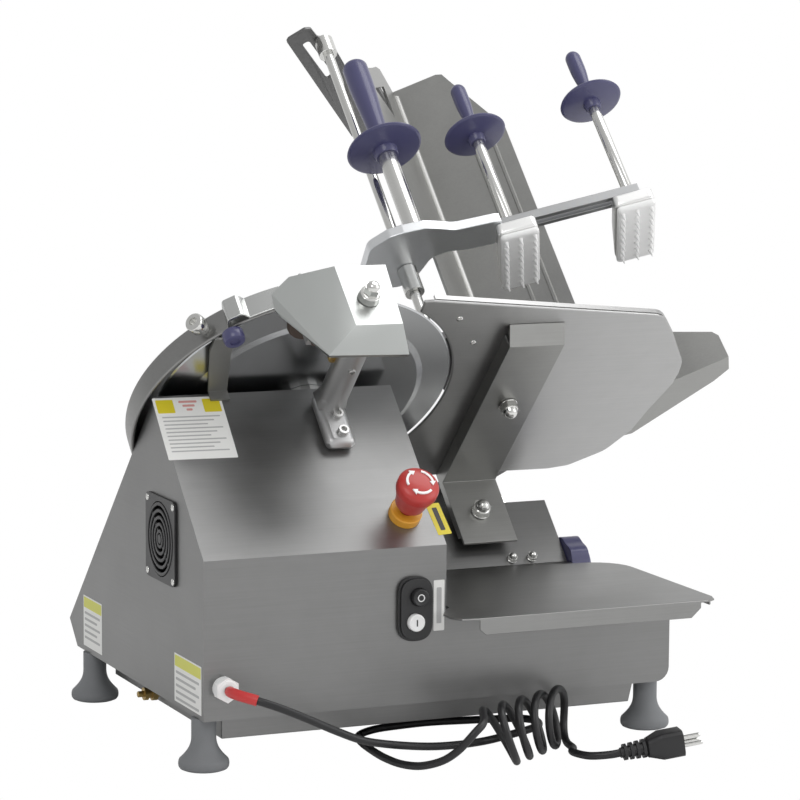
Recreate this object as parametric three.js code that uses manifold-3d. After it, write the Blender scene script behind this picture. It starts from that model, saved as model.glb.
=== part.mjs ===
// Deli meat slicer: a gravity-feed slicer with a 300 mm blade, seen and sized from its slice-exit side.
// Millimetres, +Z up, X along the carriage travel, the operator stands on the +Y side.
// The blade plane leans back at 45 degrees, and so do both slopes of the sheet-metal housing.
import * as THREE from 'three';
import { ConvexGeometry } from 'three/addons/geometries/ConvexGeometry.js';
import { mergeVertices } from 'three/addons/utils/BufferGeometryUtils.js';
import Module from 'manifold-3d';

const wasm = await Module();
wasm.setup();

// Driving dimensions of the machine
const blade_radius = 150;
const seat_gap = 0.3;
const sheet = 2;

// Housing: a tent over the motor, a low box under the tray and a raised box behind it
const base = {
  length: 477, tent_length: 240.8, floor_gap: 48.5, front_height: 197, ridge_y: 133.6,
  back_y: 391.2, box_depth: 166, box_top: 135.7,
  raised_inset: 16, raised_foot: 24.3, raised_foot_z: 134.3, raised_rise: 54.1,
  raised_back: 194, raised_back_z: 72.9, corner_radius: 14, lip: 22, overlap: 14,
};
const ridge_z = base.front_height + base.ridge_y;
const back_fold_z = ridge_z - (base.back_y - base.ridge_y);
const raised_length = base.length - base.raised_inset;
const raised_foot_y = base.box_depth + base.raised_foot;
const raised_ridge_y = raised_foot_y + base.raised_rise;
const raised_ridge_z = base.raised_foot_z + base.raised_rise;
const raised_back_y = base.box_depth + base.raised_back;

// Slanted frame: its origin is the blade centre, y climbs the blade plane, z points at the slice side
const blade_centre = new THREE.Vector3(161, 167.5, 319.2);
const slant_angle = THREE.MathUtils.degToRad(135);

// Slanted y of a plane that rises at 45 degrees through a point, and slanted z of one that falls
function risingPlane(y, z) {
  return ((z - blade_centre.z) - (y - blade_centre.y)) / Math.SQRT2;
}

function fallingPlane(y, z) {
  return -((z - blade_centre.z) + (y - blade_centre.y)) / Math.SQRT2;
}

const near_slope_y = risingPlane(0, base.front_height);
const far_slope_z = fallingPlane(base.ridge_y, ridge_z);
const raised_slope_y = risingPlane(raised_foot_y, base.raised_foot_z);
const raised_far_z = fallingPlane(raised_ridge_y, raised_ridge_z);

const foot = {
  radius: 23.5, bottom_radius: 20, neck_radius: 11.5, widest_z: 7.5, neck_z: 32,
  left: 8, front: 22, right_inset: 14, rear_right_inset: 30, rear_inset: 55.2, rear_right_back: 67.2,
  flare: [[22.6, 9.8], [17.4, 14], [13.9, 20], [12.2, 26.5]],
};
const foot_places = [['foot_front_left', foot.left, foot.front],
  ['foot_rear_left', foot.left, base.back_y - foot.rear_inset],
  ['foot_front_right', base.length - foot.right_inset, foot.front],
  ['foot_rear_right', base.length - foot.rear_right_inset, base.back_y - foot.rear_right_back]];
const pan = { left: 24, right: 448, right_low: 443, front: 18, back: 320, low: 27 };
const fan = {
  side: 80, y: 110.6, z: 199.8, thick: 3, corner: 8, rotor_radius: 34, hub_radius: 15, frame: 26,
  ring_step: 7, groove: 4.5, rings: 4, spoke_width: 3, spoke_from: 0.5, spoke_to: 2.4,
};
const tray = {
  top: 138, front: -63, left: 243, right: 498, lip_left: 247, lip_right: 477, far: 158,
  far_left: 176, lip_height: 16, side_lip: 9, corner: 38,
};
const button_plate = { x: 208, z: 139, width: 35, height: 61, thick: 6 };
const button = {
  radius: 8.2, stem: 8, stem_radius: 4, travel: 3, stop: 0.4,
  places: [['start_button', 207, 126.8, 11, 'white'], ['stop_button', 210.5, 150.4, 12, 'black']],
};
const estop = {
  x: 47.5, n: 168.9, ring_radius: 15.5, ring_height: 9, skirt_radius: 14.5, head_radius: 20,
  stem: 5.5, hole: 6.5, travel: 4, stop: 2.5,
};
const gland = { x: 18.6, z: 79.2, radius: 11.5, length: 14, hole: 6 };
const terminal = { y: 186, z: 36 };

const blade = { bevel_radius: blade_radius - 29, thick: 2.6, hub_radius: 26, shaft_radius: 11, bore_gap: 0.4 };
const bearing = {
  radius: 25, flange: 42, flange_top: 28, flange_thick: 4, start: far_slope_z + sheet + seat_gap, length: 46,
};
const pulley = { start: 66, width: 16, blade_radius: 24, motor_radius: 16 };
const motor = {
  y: -112, radius: 60, start: 86, length: 118, boss_radius: 20, leg_x: 44, leg_width: 10, leg_height: 26,
};
const ring = {
  outer: blade_radius + 20.7, wall: 3.5, near: far_slope_z - seat_gap, far: -9,
  lip_inner: blade_radius + 3, start: -21.5, end: -185,
  strap_thick: 2.4, strap_from: -22.5, strap_to: -33, hump_to: -41, hump_height: 9,
};

// Gauge plate outline in the blade plane, from its upper left end clockwise to the lower left
const gauge = {
  thick: 3, cut_radius: blade_radius + 2, lip: 8, travel: 12,
  outline: [[85, 142], [95, 142.5], [346, 106.5], [357, 101], [373.5, 78], [404, 29], [407, 10],
    [406.5, -8], [395.5, -47.5], [388.5, -83], [370, -116], [335.5, -138.5], [313, -142.3],
    [258, -141.8], [92, -140]],
};
const bracket = {
  left: 187, right: 246, face: 19, top: 86.6, fold: raised_slope_y + 15, foot: 95, thick: 3, flange: 2.5,
  slider_from: 40, slider_to: 76, slider_width: 40,
};
const nuts = { x: 216, upper_y: -5, lower_n: 58 };
const dial = {
  radius: 32.5, length: 24, y: raised_foot_y + 18.7, z: base.raised_foot_z - 11.3, lobes: 8,
  lobe_depth: 2.2, shaft: 6,
};

const sharpener = {
  post_x: 6, post_n: 42, post_radius: 14, block_left: -10, block_right: 20, block_far: 30,
  block_near: 92, block_thick: 14, post_top: blade_radius + 16, wall: 3,
};
// Corners of the cover as (x, height above the blade's edge, z)
const aboveBlade = ([x, height, z]) => [x, blade_radius + height, z];
const cover_top = [[-15.7, 36, 62], [31, 35.6, 62], [37, 31.2, -12], [-14.4, 31.4, -12]].map(aboveBlade);
const cover_rim = [[-48.7, 30.3, 91], [31.3, 26.6, 91], [37, 1, -12], [-56, 18, -12], [-75.8, 12.7, 3],
  [-77.4, 12.5, 22], [-74.3, 13.8, 32]].map(aboveBlade);
const cover_web = { sleeve_low: 0, top: 40, near_to: 34, far: -24, far_top: 18, bridge_low: 13, bridge_top: 23 };
const cover_bolt = { x: 6.2, n: 30, seat: blade_radius + 34.8 };
const stone = {
  x: -33, y: blade_radius - 19, radius: 20, near: 10, thick: 8, spindle: 4, far: -9.5, web: 14,
};

// Carriage: a folded trough whose floor rises 36 degrees to the right, on a rail behind the housing
const carriage = {
  corner: [276.8, -105.3], tilt: 35.86, travel: 300, sheet: 2.5, floor_start: 5,
  floor: [[-2.5, 5], [225, 5], [224, 31], [219, 38], [100.5, 99], [100.5, 383], [61.5, 472], [57, 483],
    [50.6, 486], [-2.5, 488]],
  skirt: [[225, 0], [220, -21.5], [201, -31.4], [102, -62], [55, -48], [0, -22], [0, 0]],
  wall: [[0, 5], [150, 5], [186, 40], [186, 385], [117, 437], [75, 470], [46, 488], [0, 488]],
  hole: [[73, 398.5], [153, 376], [157.5, 376.6], [156, 379.5], [74, 442], [70.5, 440.5], [70.5, 402]],
  rib_places: [61.5, 83], rib_height: 2.2, rib_width: 5,
};
const rail = { y: -228, n: -17, radius: 10, from: -120, to: 296, post: 14 };
const slider = { from: 204, to: 246, width: 34, arm_thick: 8, arm_near: -22 };

const arm = {
  near: 125, far: 136, rod: [139.4, 32.8], rod_radius: 5.2, rod_from: 14, rod_to: 436, cap_from: 415,
  cap_radius: 9.7, shoe: 22, sleeve_radius: 10, sleeve_length: 30, tilt: 19.9, bar_origin: [285, 109.4],
  bar_start: -66, bar_end: 80, bar_width: 17, bar_near: 125.3, bar_far: 135, slot: 6, boss: 14,
  outline: [[93.5, 30], [90, 66], [106, 84], [119, 90], [140, 96], [154, 95], [174, 92], [212, 103],
    [222, 104], [233, 72], [197, 61], [176, 59], [161, 50], [156, 28], [152, 14], [140, 6], [112, 2], [97, 12]],
};
const block = {
  names: ['block_inner', 'block_outer'], along: [-50.2, 70.5], rod_x: [-3.5, 0], drop: [0, 3.5],
  disc_at: [250, 255], width: 41, top: 15.5,
  bottom: -73.5, near: 112, stud: 2.6, taper: 3, pad: 6.5, rows: 8, columns: 3, spike: 6, spike_radius: 3,
  rod_radius: 5.6, grip_length: 78, guard_radius: 32, waist: 5.3, tip: 8,
};
const big_grip = {
  x: 136.5, y: 79.9, rod_radius: 9.4, disc_at: 244, length: 127.5, guard: 38.5, waist: 9.5, radius: 13,
};
const handle_plate = {
  from: arm.rod_to + seat_gap, thick: 3, foot: [30, 112], ear: 16,
  outline: [[-56, 21], [-24, 24], [-24, 192], [-33.8, 200], [-35.4, 217.5], [-41, 221], [-60.6, 217.4],
    [-64.3, 214]],
  slot: [[-47.5, 130.7], [-39.4, 135.4], [-43.6, 201.2], [-52, 199.9]],
};

// Mains cord
const cord = { radius: 3.7, sides: 8, bundle_sides: 6, lead_steps: 54, tail_steps: 8 };
const cord_y = -14 - 0.6;
const lead_points = [[gland.x, cord_y, gland.z], [gland.x, cord_y - 9, gland.z], [22.5, -36, 78.6],
  [34, -47.5, 75.6], [51, -54, 69.5], [76, -57, 58.4], [107, -56, 43.3], [133, -53, 32], [160, -48, 24.7],
  [206, -42, 17], [240, -38, 15], [268, -33, 15], [300, -22, 16], [325, -9, 16], [342, 7, 15.5],
  [346.5, 26, 15], [338, 43, 14], [318, 53, 13], [288, 63, 12], [257, 72, 11], [229, 78, 9], [204, 82, 6.5],
  [185, 74, 4.6], [176.8, 54, 4.2], [172, 15, 4.2], [171.4, -21.9, 4.2], [176, -50, 4.6], [184.6, -74, 7.9],
  [197, -93, 16], [206, -103, 25.5], [214.5, -107.5, 35.5], [222, -108.5, 43.5], [230, -105.2, 48.7]];
const bundle = {
  centre: [256.4, -79.6], step: [21.4, 10.6], lean: [-12.6, 2.6], lean_y: 2.5, radius: 25.3,
  from: -0.028, to: 4.5, facing: 20, facing_more: 20, facing_last: 4, turn_back: 28,
  last_from: 3.6, last_shift: [0, 2], lift: 0.9, floor: 4.2, steps: 86, straight: 8.4, straight_share: 0.009,
};
const plug = {
  x: 401, y: -103.6, z: 12.2, rise: 8.5, turn: -12, length: 32, radius: 13.5, relief: 27, pin: 19, pin_gap: 6,
};
const tail_points = [[343.8, -61, 4.2], [345, -74, 4.3], [351, -86, 4.8]];

// Finishes
const finishes = {
  steel: ['#8d8c8b', 0.42, 0.9], dark_steel: ['#5d5d5c', 0.45, 0.9], cast: ['#c9cac6', 0.32, 0.9],
  chrome: ['#d8d8d8', 0.12, 1.0], rubber: ['#5c5d60', 0.7, 0.0], black: ['#1c1c1e', 0.5, 0.0],
  blue: ['#2d2a55', 0.35, 0.0], white: ['#e8e8e8', 0.45, 0.0], red: ['#c23a36', 0.45, 0.0],
  yellow: ['#e3a92c', 0.45, 0.0], brass: ['#9c8752', 0.35, 0.9], stone: ['#6d6560', 0.9, 0.0],
  belt: ['#202022', 0.8, 0.0],
};
const round = 28;

// Solids from closed geometry, and back
function solid(geometry) {
  const bare = geometry.index ? geometry.toNonIndexed() : geometry.clone();
  for (const name of Object.keys(bare.attributes)) {
    if (name !== 'position') bare.deleteAttribute(name);
  }
  const merged = mergeVertices(bare, 1e-4);
  const vertProperties = new Float32Array(merged.attributes.position.array);
  const triVerts = new Uint32Array(merged.index.array);
  return new wasm.Manifold(new wasm.Mesh({ numProp: 3, vertProperties, triVerts }));
}

function geometryOf(body) {
  const mesh = body.getMesh();
  const geometry = new THREE.BufferGeometry();
  geometry.setAttribute('position', new THREE.BufferAttribute(mesh.vertProperties, 3));
  geometry.setIndex(new THREE.BufferAttribute(mesh.triVerts, 1));
  return geometry;
}

function union(parts) {
  return parts.reduce((whole, part) => whole.add(part));
}

function cut(body, tools) {
  return tools.reduce((rest, tool) => rest.subtract(tool), body);
}

function shapeOf(points) {
  const corners = points.map(([x, y]) => new THREE.Vector2(x, y));
  if (THREE.ShapeUtils.isClockWise(corners)) corners.reverse();
  return new THREE.Shape(corners);
}

// A flat outline given depth along z, from z = start
function slab(points, start, depth, holes = []) {
  const shape = shapeOf(points);
  for (const hole of holes) {
    shape.holes.push(new THREE.Path(hole.map(([x, y]) => new THREE.Vector2(x, y))));
  }
  const geometry = new THREE.ExtrudeGeometry(shape, { depth, bevelEnabled: false, curveSegments: 10 });
  geometry.translate(0, 0, start);
  return geometry;
}

// The same slab turned so that its outline is given as (y, z) and its depth runs along x
function slabAlongX(points, start, depth) {
  const geometry = slab(points, 0, depth);
  geometry.applyMatrix4(new THREE.Matrix4().set(0, 0, 1, start, 1, 0, 0, 0, 0, 1, 0, 0, 0, 0, 0, 1));
  return geometry;
}

// An outline given as (x, z) with its depth running along -y
function slabAlongY(points, start, depth) {
  const geometry = slab(points, 0, depth);
  geometry.applyMatrix4(new THREE.Matrix4().set(1, 0, 0, 0, 0, 0, -1, start, 0, 1, 0, 0, 0, 0, 0, 1));
  return geometry;
}

function box(x0, x1, y0, y1, z0, z1) {
  const geometry = new THREE.BoxGeometry(x1 - x0, y1 - y0, z1 - z0);
  geometry.translate((x0 + x1) / 2, (y0 + y1) / 2, (z0 + z1) / 2);
  return geometry;
}

// A turned piece: profile points are (radius, z), from the axis back to the axis
function turned(profile, segments = round) {
  const geometry = new THREE.LatheGeometry(profile.map(([r, z]) => new THREE.Vector2(r, z)), segments);
  geometry.rotateX(Math.PI / 2);
  return geometry;
}

function disc(radius, z0, z1, segments = round) {
  return turned([[0, z0], [radius, z0], [radius, z1], [0, z1]], segments);
}

function shifted(geometry, x, y, z) {
  geometry.translate(x, y, z);
  return geometry;
}

function alongX(geometry) {
  geometry.rotateY(Math.PI / 2);
  return geometry;
}

function alongMinusY(geometry) {
  geometry.rotateX(Math.PI / 2);
  return geometry;
}

// A rectangle with round corners as a list of points
function roundRectangle(width, height, radius, steps = 5) {
  const points = [];
  for (let corner = 0; corner < 4; corner += 1) {
    const cx = (corner === 0 || corner === 3 ? 1 : -1) * (width / 2 - radius);
    const cy = (corner < 2 ? 1 : -1) * (height / 2 - radius);
    for (let step = 0; step <= steps; step += 1) {
      const angle = (corner + step / steps) * Math.PI / 2;
      points.push([cx + radius * Math.cos(angle), cy + radius * Math.sin(angle)]);
    }
  }
  return points;
}

function circle(radius, segments = 40, x = 0, y = 0) {
  return Array.from({ length: segments }, (_, i) => {
    const angle = 2 * Math.PI * i / segments;
    return [x + radius * Math.cos(angle), y + radius * Math.sin(angle)];
  });
}

// A closed convex body from its corner points
function convex(points) {
  return new ConvexGeometry(points.map((p) => new THREE.Vector3(...p)));
}

// A round tube along a smooth line through points
function tube(points, radius, sides, steps, straight = false) {
  const vectors = points.map((p) => new THREE.Vector3(...p));
  const curve = new THREE.CatmullRomCurve3(vectors, false, straight ? 'catmullrom' : 'centripetal');
  const section = shapeOf(circle(radius, sides));
  return new THREE.ExtrudeGeometry(section, { steps, extrudePath: curve, bevelEnabled: false });
}

const machine = new THREE.Group();
const slant = new THREE.Group();
slant.position.copy(blade_centre);
slant.rotation.x = slant_angle;
machine.add(slant);
const trough = new THREE.Group();
trough.position.set(carriage.corner[0], carriage.corner[1], 0);
trough.rotation.z = THREE.MathUtils.degToRad(carriage.tilt);
slant.add(trough);

function piece(parent, name, finish, body) {
  const [colour, roughness, metalness] = finishes[finish];
  const geometry = body.isBufferGeometry ? body : geometryOf(body);
  const material = new THREE.MeshStandardMaterial({ color: colour, roughness, metalness });
  const mesh = new THREE.Mesh(geometry, material);
  mesh.name = name;
  parent.add(mesh);
  return mesh;
}

// Profiles of the three parts of the housing, as (y, z) outlines drawn in by a margin
function tentProfile(m) {
  const slope = m * Math.SQRT2;
  const low = base.floor_gap + m;
  return [[m, low], [m, base.front_height - m * (Math.SQRT2 - 1)], [base.ridge_y, ridge_z - slope],
    [base.back_y - slope, back_fold_z], [base.back_y - slope - (back_fold_z - low), low]];
}

function raisedProfile(m) {
  const slope = m * Math.SQRT2;
  const low = base.floor_gap + m;
  const start = base.box_depth - base.overlap;
  return [[start, low], [start, base.raised_foot_z - m], [raised_foot_y, base.raised_foot_z - m],
    [raised_ridge_y, raised_ridge_z - slope], [raised_back_y - slope, base.raised_back_z],
    [raised_back_y - slope - (base.raised_back_z - low), low]];
}

// Front view outline of the low box, its lower right corner rounded
function lowBox(m) {
  const left = base.tent_length - base.overlap;
  const radius = base.corner_radius - m;
  const centre = [base.length - base.corner_radius, base.floor_gap + base.corner_radius];
  const outline = [[left, base.floor_gap + m], [left, base.box_top - m], [base.length - m, base.box_top - m]];
  for (let step = 0; step <= 6; step += 1) {
    const angle = -step * Math.PI / 12;
    outline.push([centre[0] + radius * Math.cos(angle), centre[1] + radius * Math.sin(angle)]);
  }
  return slabAlongY(outline, base.box_depth - m, base.box_depth - 2 * m);
}

function housingBody(m) {
  const right = raised_length - m;
  const start = base.tent_length - base.overlap;
  return union([solid(slabAlongX(tentProfile(m), m, base.tent_length - 2 * m)), solid(lowBox(m)),
    solid(slabAlongX(raisedProfile(m), start, right - start))]);
}

// Housing shell folded from sheet, open underneath inside a turned-in lip that carries the feet
function makeHousing() {
  const lip = base.lip;
  const opening = box(lip, base.length - 2 * lip, lip + foot.radius, base.back_y - 3 * lip,
    base.floor_gap - sheet, base.floor_gap + 2 * sheet);
  const shaft_hole = slantToMachine(disc(blade.hub_radius + 1.5, 0, 2 * far_slope_z, 32));
  const stop_hole = slantToMachine(shifted(alongSlope(disc(estop.hole, -8, 8, 14)), estop.x, near_slope_y, estop.n));
  const fan_hole = shifted(alongX(disc(fan.rotor_radius + 2, -3, 3, 24)), 0, fan.y, fan.z);
  const gland_hole = shifted(alongMinusY(disc(gland.hole, -4, 4, 12)), gland.x, 1, gland.z);
  const dial_hole = shifted(alongX(disc(dial.shaft + 0.8, -8, 8, 14)), raised_length - 1, dial.y, dial.z);
  const button_holes = button.places.map(([, x, z]) => shifted(
    alongMinusY(disc(button.stem_radius + 1, -3, 3, 12)), x, 1, z));
  const holes = [opening, shaft_hole, stop_hole, fan_hole, gland_hole, dial_hole, ...button_holes];
  return cut(housingBody(0), [housingBody(sheet), ...holes.map(solid)]);
}

// Turns a piece made in the slanted frame into the machine's own frame
function slantToMachine(geometry) {
  geometry.rotateX(slant_angle);
  geometry.translate(blade_centre.x, blade_centre.y, blade_centre.z);
  return geometry;
}

// Turns a piece's z axis onto the slanted frame's y axis, the near slope's normal
function alongSlope(geometry) {
  geometry.rotateX(-Math.PI / 2);
  return geometry;
}

piece(machine, 'base_housing', 'steel', makeHousing());

function panBody(m) {
  const top = base.floor_gap - seat_gap + m;
  const outline = [[pan.left + m, pan.low + m], [pan.right_low - m, pan.low + m], [pan.right - m, top], [pan.left + m, top]];
  const plan = [[pan.left + m, pan.front + m], [pan.right, pan.front + m], [pan.right, pan.back - 42],
    [pan.right - 42 - m, pan.back - m], [pan.left + m, pan.back - m]];
  const front_view = solid(slabAlongY(outline, pan.back, pan.back - pan.front));
  return front_view.intersect(solid(slab(plan, 0, 2 * base.floor_gap)));
}

function makePan() {
  return panBody(0).subtract(panBody(sheet));
}

piece(machine, 'base_pan', 'steel', makePan());

// Bell-shaped rubber feet
function makeFoot() {
  const top = base.floor_gap - seat_gap;
  const f = foot;
  return turned([[0, 0], [f.bottom_radius, 0], [f.radius, f.widest_z / 2], [f.radius, f.widest_z],
    ...f.flare, [f.neck_radius, f.neck_z], [f.neck_radius, top], [0, top]], 16);
}

for (const [name, x, y] of foot_places) {
  piece(machine, name, 'rubber', makeFoot()).position.set(x, y, 0);
}

// Cooling fan: guard with concentric rings outside the panel, frame and rotor inside
function makeFanGuard() {
  const f = fan;
  const plate = solid(slab(roundRectangle(f.side, f.side, f.corner), 0, f.thick));
  const grooves = [];
  for (let i = 0; i < f.rings; i += 1) {
    const outer = f.rotor_radius - i * f.ring_step;
    grooves.push(solid(slab(circle(outer, 18), -f.thick, 3 * f.thick, [circle(outer - f.groove, 18)])));
  }
  const spokes = [];
  for (let i = 0; i < 4; i += 1) {
    const spoke = box(f.groove, f.rotor_radius + f.thick / 2, -f.spoke_width / 2, f.spoke_width / 2,
      f.spoke_from, f.spoke_to);
    spoke.rotateZ(Math.PI / 4 + i * Math.PI / 2);
    spokes.push(solid(spoke));
  }
  return union([cut(plate, grooves), ...spokes]);
}

function onLeftPanel(geometry, x) {
  geometry.applyMatrix4(new THREE.Matrix4().set(0, 0, -1, x, -1, 0, 0, fan.y, 0, 1, 0, fan.z, 0, 0, 0, 1));
  return geometry;
}

piece(machine, 'fan_guard', 'black', onLeftPanel(geometryOf(makeFanGuard()), -seat_gap));

function makeFanFrame() {
  const front = -sheet - seat_gap;
  const back = front - fan.frame;
  const body = solid(slab(roundRectangle(fan.side - 4, fan.side - 4, fan.corner), back, fan.frame));
  const duct = solid(disc(fan.rotor_radius + 2, back + 3, 0, 24));
  const vents = solid(slab(circle(fan.rotor_radius, 20), back - 1, 6, [circle(12, 14)]));
  const spokes = [0, 1].map((turn) => {
    const bar = box(-fan.rotor_radius - 1, fan.rotor_radius + 1, -3, 3, back, back + 3);
    bar.rotateZ(turn * Math.PI / 2);
    return solid(bar);
  });
  return union([cut(body, [duct, vents]), ...spokes, solid(disc(4, back + 1, -8, 12))]);
}

piece(machine, 'fan_frame', 'black', onLeftPanel(geometryOf(makeFanFrame()), 0));

function makeFanRotor() {
  const middle = -sheet - fan.frame / 2;
  const hub = solid(disc(fan.hub_radius, middle - 8, middle + 8, 18));
  const blades = [];
  for (let i = 0; i < 7; i += 1) {
    const wing = box(fan.hub_radius - 2, fan.rotor_radius - 1.5, -7, 7, -1, 1);
    wing.rotateX(THREE.MathUtils.degToRad(38));
    wing.translate(0, 0, middle);
    wing.rotateZ(2 * Math.PI * i / 7);
    blades.push(solid(wing));
  }
  return union([hub, ...blades]).subtract(solid(disc(4.5, -40, -7, 12)));
}

piece(machine, 'fan_rotor', 'black', onLeftPanel(geometryOf(makeFanRotor()), 0));

// Start and stop station on the front panel
function makeSwitchPlate() {
  const p = button_plate;
  const outline = roundRectangle(p.width, p.height, p.width / 2 - 0.1, 6);
  const rim = roundRectangle(p.width - 4, p.height - 4, p.width / 2 - 2.1, 6);
  const plate = union([solid(slabAlongY(outline, -seat_gap, p.thick - 2)), solid(slabAlongY(rim, -2, p.thick - 2))]);
  const holes = button.places.map(([, x, z]) => solid(shifted(
    alongMinusY(disc(button.radius + 0.4, -9, 9, 20)), x - p.x, 0, z - p.z)));
  return cut(plate, holes);
}

piece(machine, 'switch_plate', 'black', makeSwitchPlate()).position.set(button_plate.x, 0, button_plate.z);

function makeButton(face) {
  const b = button;
  const low = b.travel + b.stop;
  const profile = [[0, -b.stem], [b.stem_radius, -b.stem], [b.stem_radius, low], [b.radius, low],
    [b.radius, face - 1], [b.radius - 1, face], [0, face]];
  return alongMinusY(turned(profile, 18));
}

for (const [name, x, z, face, finish] of button.places) {
  piece(machine, name, finish, makeButton(face)).position.set(x, 0, z);
}

// Emergency stop on the near slope: yellow collar, mushroom head on its stem
const collar = alongSlope(turned([[7, 0.3], [estop.ring_radius, 0.3], [estop.ring_radius, estop.ring_height],
  [7, estop.ring_height], [7, 0.3]], 22));
piece(slant, 'estop_collar', 'yellow', collar).position.set(estop.x, near_slope_y, estop.n);
const neck = estop.ring_height + estop.travel + estop.stop;
const mushroom = alongSlope(turned([[0, -6], [estop.stem, -6], [estop.stem, neck], [12, neck], [12, neck + 3],
  [estop.skirt_radius, neck + 4], [16.5, neck + 14], [estop.head_radius, neck + 24],
  [estop.head_radius, neck + 32], [18.6, neck + 35.5], [12.5, neck + 37], [0, neck + 37.6]], 22));
piece(slant, 'estop_head', 'red', mushroom).position.set(estop.x, near_slope_y, estop.n);

// Cord gland on the front panel, earth terminal on the left side of the pan
function makeGland() {
  const nut = solid(turned([[0, 5], [gland.radius, 5], [gland.radius, gland.length], [0, gland.length]], 6));
  const body = solid(turned([[0, -6], [5.4, -6], [5.4, 0.3], [10.5, 0.3], [10.5, 5], [0, 5]], 16));
  return alongMinusY(geometryOf(nut.add(body)));
}

piece(machine, 'cable_gland', 'white', makeGland()).position.set(gland.x, 0, gland.z);

function makeEarthTerminal() {
  const profile = [[0, 0.3], [4, 0.3], [4, 4], [7, 4], [7, 9], [4.5, 9], [4.5, 13], [6.2, 13], [6.2, 17], [3, 17],
    [3, 23], [0, 23]];
  const geometry = turned(profile, 12);
  geometry.rotateY(-Math.PI / 2);
  return geometry;
}

piece(machine, 'earth_terminal', 'brass', makeEarthTerminal()).position.set(pan.left, terminal.y, terminal.z);

// Drip tray with folded lips, lying on the low box
function makeTray() {
  const t = tray;
  const corner = [];
  for (let step = 0; step <= 6; step += 1) {
    const angle = step * Math.PI / 12;
    corner.push([t.right - t.corner + t.corner * Math.cos(angle), t.far - t.corner + t.corner * Math.sin(angle)]);
  }
  const outline = [[t.left, -2], [t.left - 12, -18], [t.left - 19.5, -32], [t.left - 19.5, -46],
    [t.left - 13, t.front + 3], [t.lip_left, t.front], [t.right - 14, t.front], [t.right - 4, t.front + 6],
    [t.right, t.front + 18], ...corner, [t.left, t.far_left]];
  const plate = solid(slab(outline, t.top - sheet, sheet));
  const low = t.top - t.lip_height;
  const front_lip = slabAlongY([[t.lip_left, t.top], [t.lip_left, low + 5], [t.lip_left + 6, low],
    [t.lip_right - 10, low], [t.lip_right, low + 9], [t.lip_right, t.top]].reverse(), t.front + sheet, sheet);
  const side_lip = box(t.right - sheet, t.right, t.front + 20, t.far - t.corner, t.top - t.side_lip, t.top);
  return union([plate, solid(front_lip), solid(side_lip)]);
}

piece(machine, 'drip_tray', 'steel', makeTray());

// Blade with its ground bevel, and the shaft that carries it and its pulley
function makeBlade() {
  const b = blade;
  const edge = [[0, 6], [b.bevel_radius - 6, 6], [b.bevel_radius, 4.2], [blade_radius - 1.5, 1.4],
    [blade_radius, 0.5], [blade_radius, 0.2], [b.bevel_radius + 4, b.thick - 1], [b.bevel_radius - 8, b.thick],
    [0, b.thick]];
  return turned(edge.reverse(), 52);
}

piece(slant, 'blade', 'chrome', makeBlade());

const shaft_end = pulley.start + pulley.width;
const shaft_profile = [[0, 6.3], [blade.hub_radius, 6.3], [blade.hub_radius, 15], [blade.shaft_radius, 15],
  [blade.shaft_radius, pulley.start], [pulley.blade_radius + 2, pulley.start],
  [pulley.blade_radius + 2, pulley.start + 1.5], [pulley.blade_radius, pulley.start + 1.5],
  [pulley.blade_radius, shaft_end - 1.5], [pulley.blade_radius + 2, shaft_end - 1.5],
  [pulley.blade_radius + 2, shaft_end], [0, shaft_end]];
piece(slant, 'blade_shaft', 'cast', turned(shaft_profile, 18));

// Bearing housing of the blade shaft, its square flange against the inside of the slope
function makeBearing() {
  const bore = blade.shaft_radius + blade.bore_gap;
  const end = bearing.start + bearing.length;
  const barrel = solid(disc(bearing.radius, bearing.start, end, 18));
  const flange = solid(box(-bearing.flange, bearing.flange, -bearing.flange, bearing.flange_top, bearing.start,
    bearing.start + bearing.flange_thick));
  return barrel.add(flange).subtract(solid(disc(bore, 0, 2 * end, 18)));
}

piece(slant, 'blade_bearing', 'cast', makeBearing());

// Motor low in the tent, its pulley and the belt up to the blade pulley
function makeMotor() {
  const end = motor.start + motor.length;
  const body = turned([[0, motor.start], [motor.boss_radius, motor.start], [motor.boss_radius, motor.start + 5],
    [motor.radius - 6, motor.start + 6], [motor.radius, motor.start + 12], [motor.radius, end - 10],
    [motor.radius - 8, end], [0, end]], 20);
  const foot_plate = box(-44, 44, motor.radius - 8, motor.radius + 2, motor.start + 24, end - 24);
  const legs = [-1, 1].map((side) => solid(box(side * motor.leg_x - motor.leg_width / 2,
    side * motor.leg_x + motor.leg_width / 2, -motor.leg_height / 2, motor.leg_height / 2,
    far_slope_z + sheet + seat_gap, motor.start + 12)));
  return union([solid(body), solid(foot_plate), ...legs]).subtract(solid(disc(7, motor.start - 1, motor.start + 30, 20)));
}

piece(slant, 'motor', 'dark_steel', makeMotor()).position.set(0, motor.y, 0);

const motor_pulley_profile = [[0, pulley.start], [pulley.motor_radius + 2, pulley.start],
  [pulley.motor_radius + 2, pulley.start + 1.5], [pulley.motor_radius, pulley.start + 1.5],
  [pulley.motor_radius, shaft_end - 1.5], [pulley.motor_radius + 2, shaft_end - 1.5],
  [pulley.motor_radius + 2, shaft_end], [6, shaft_end], [6, motor.start + 26], [0, motor.start + 26]];
piece(slant, 'motor_pulley', 'cast', turned(motor_pulley_profile, 16)).position.set(0, motor.y, 0);

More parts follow.
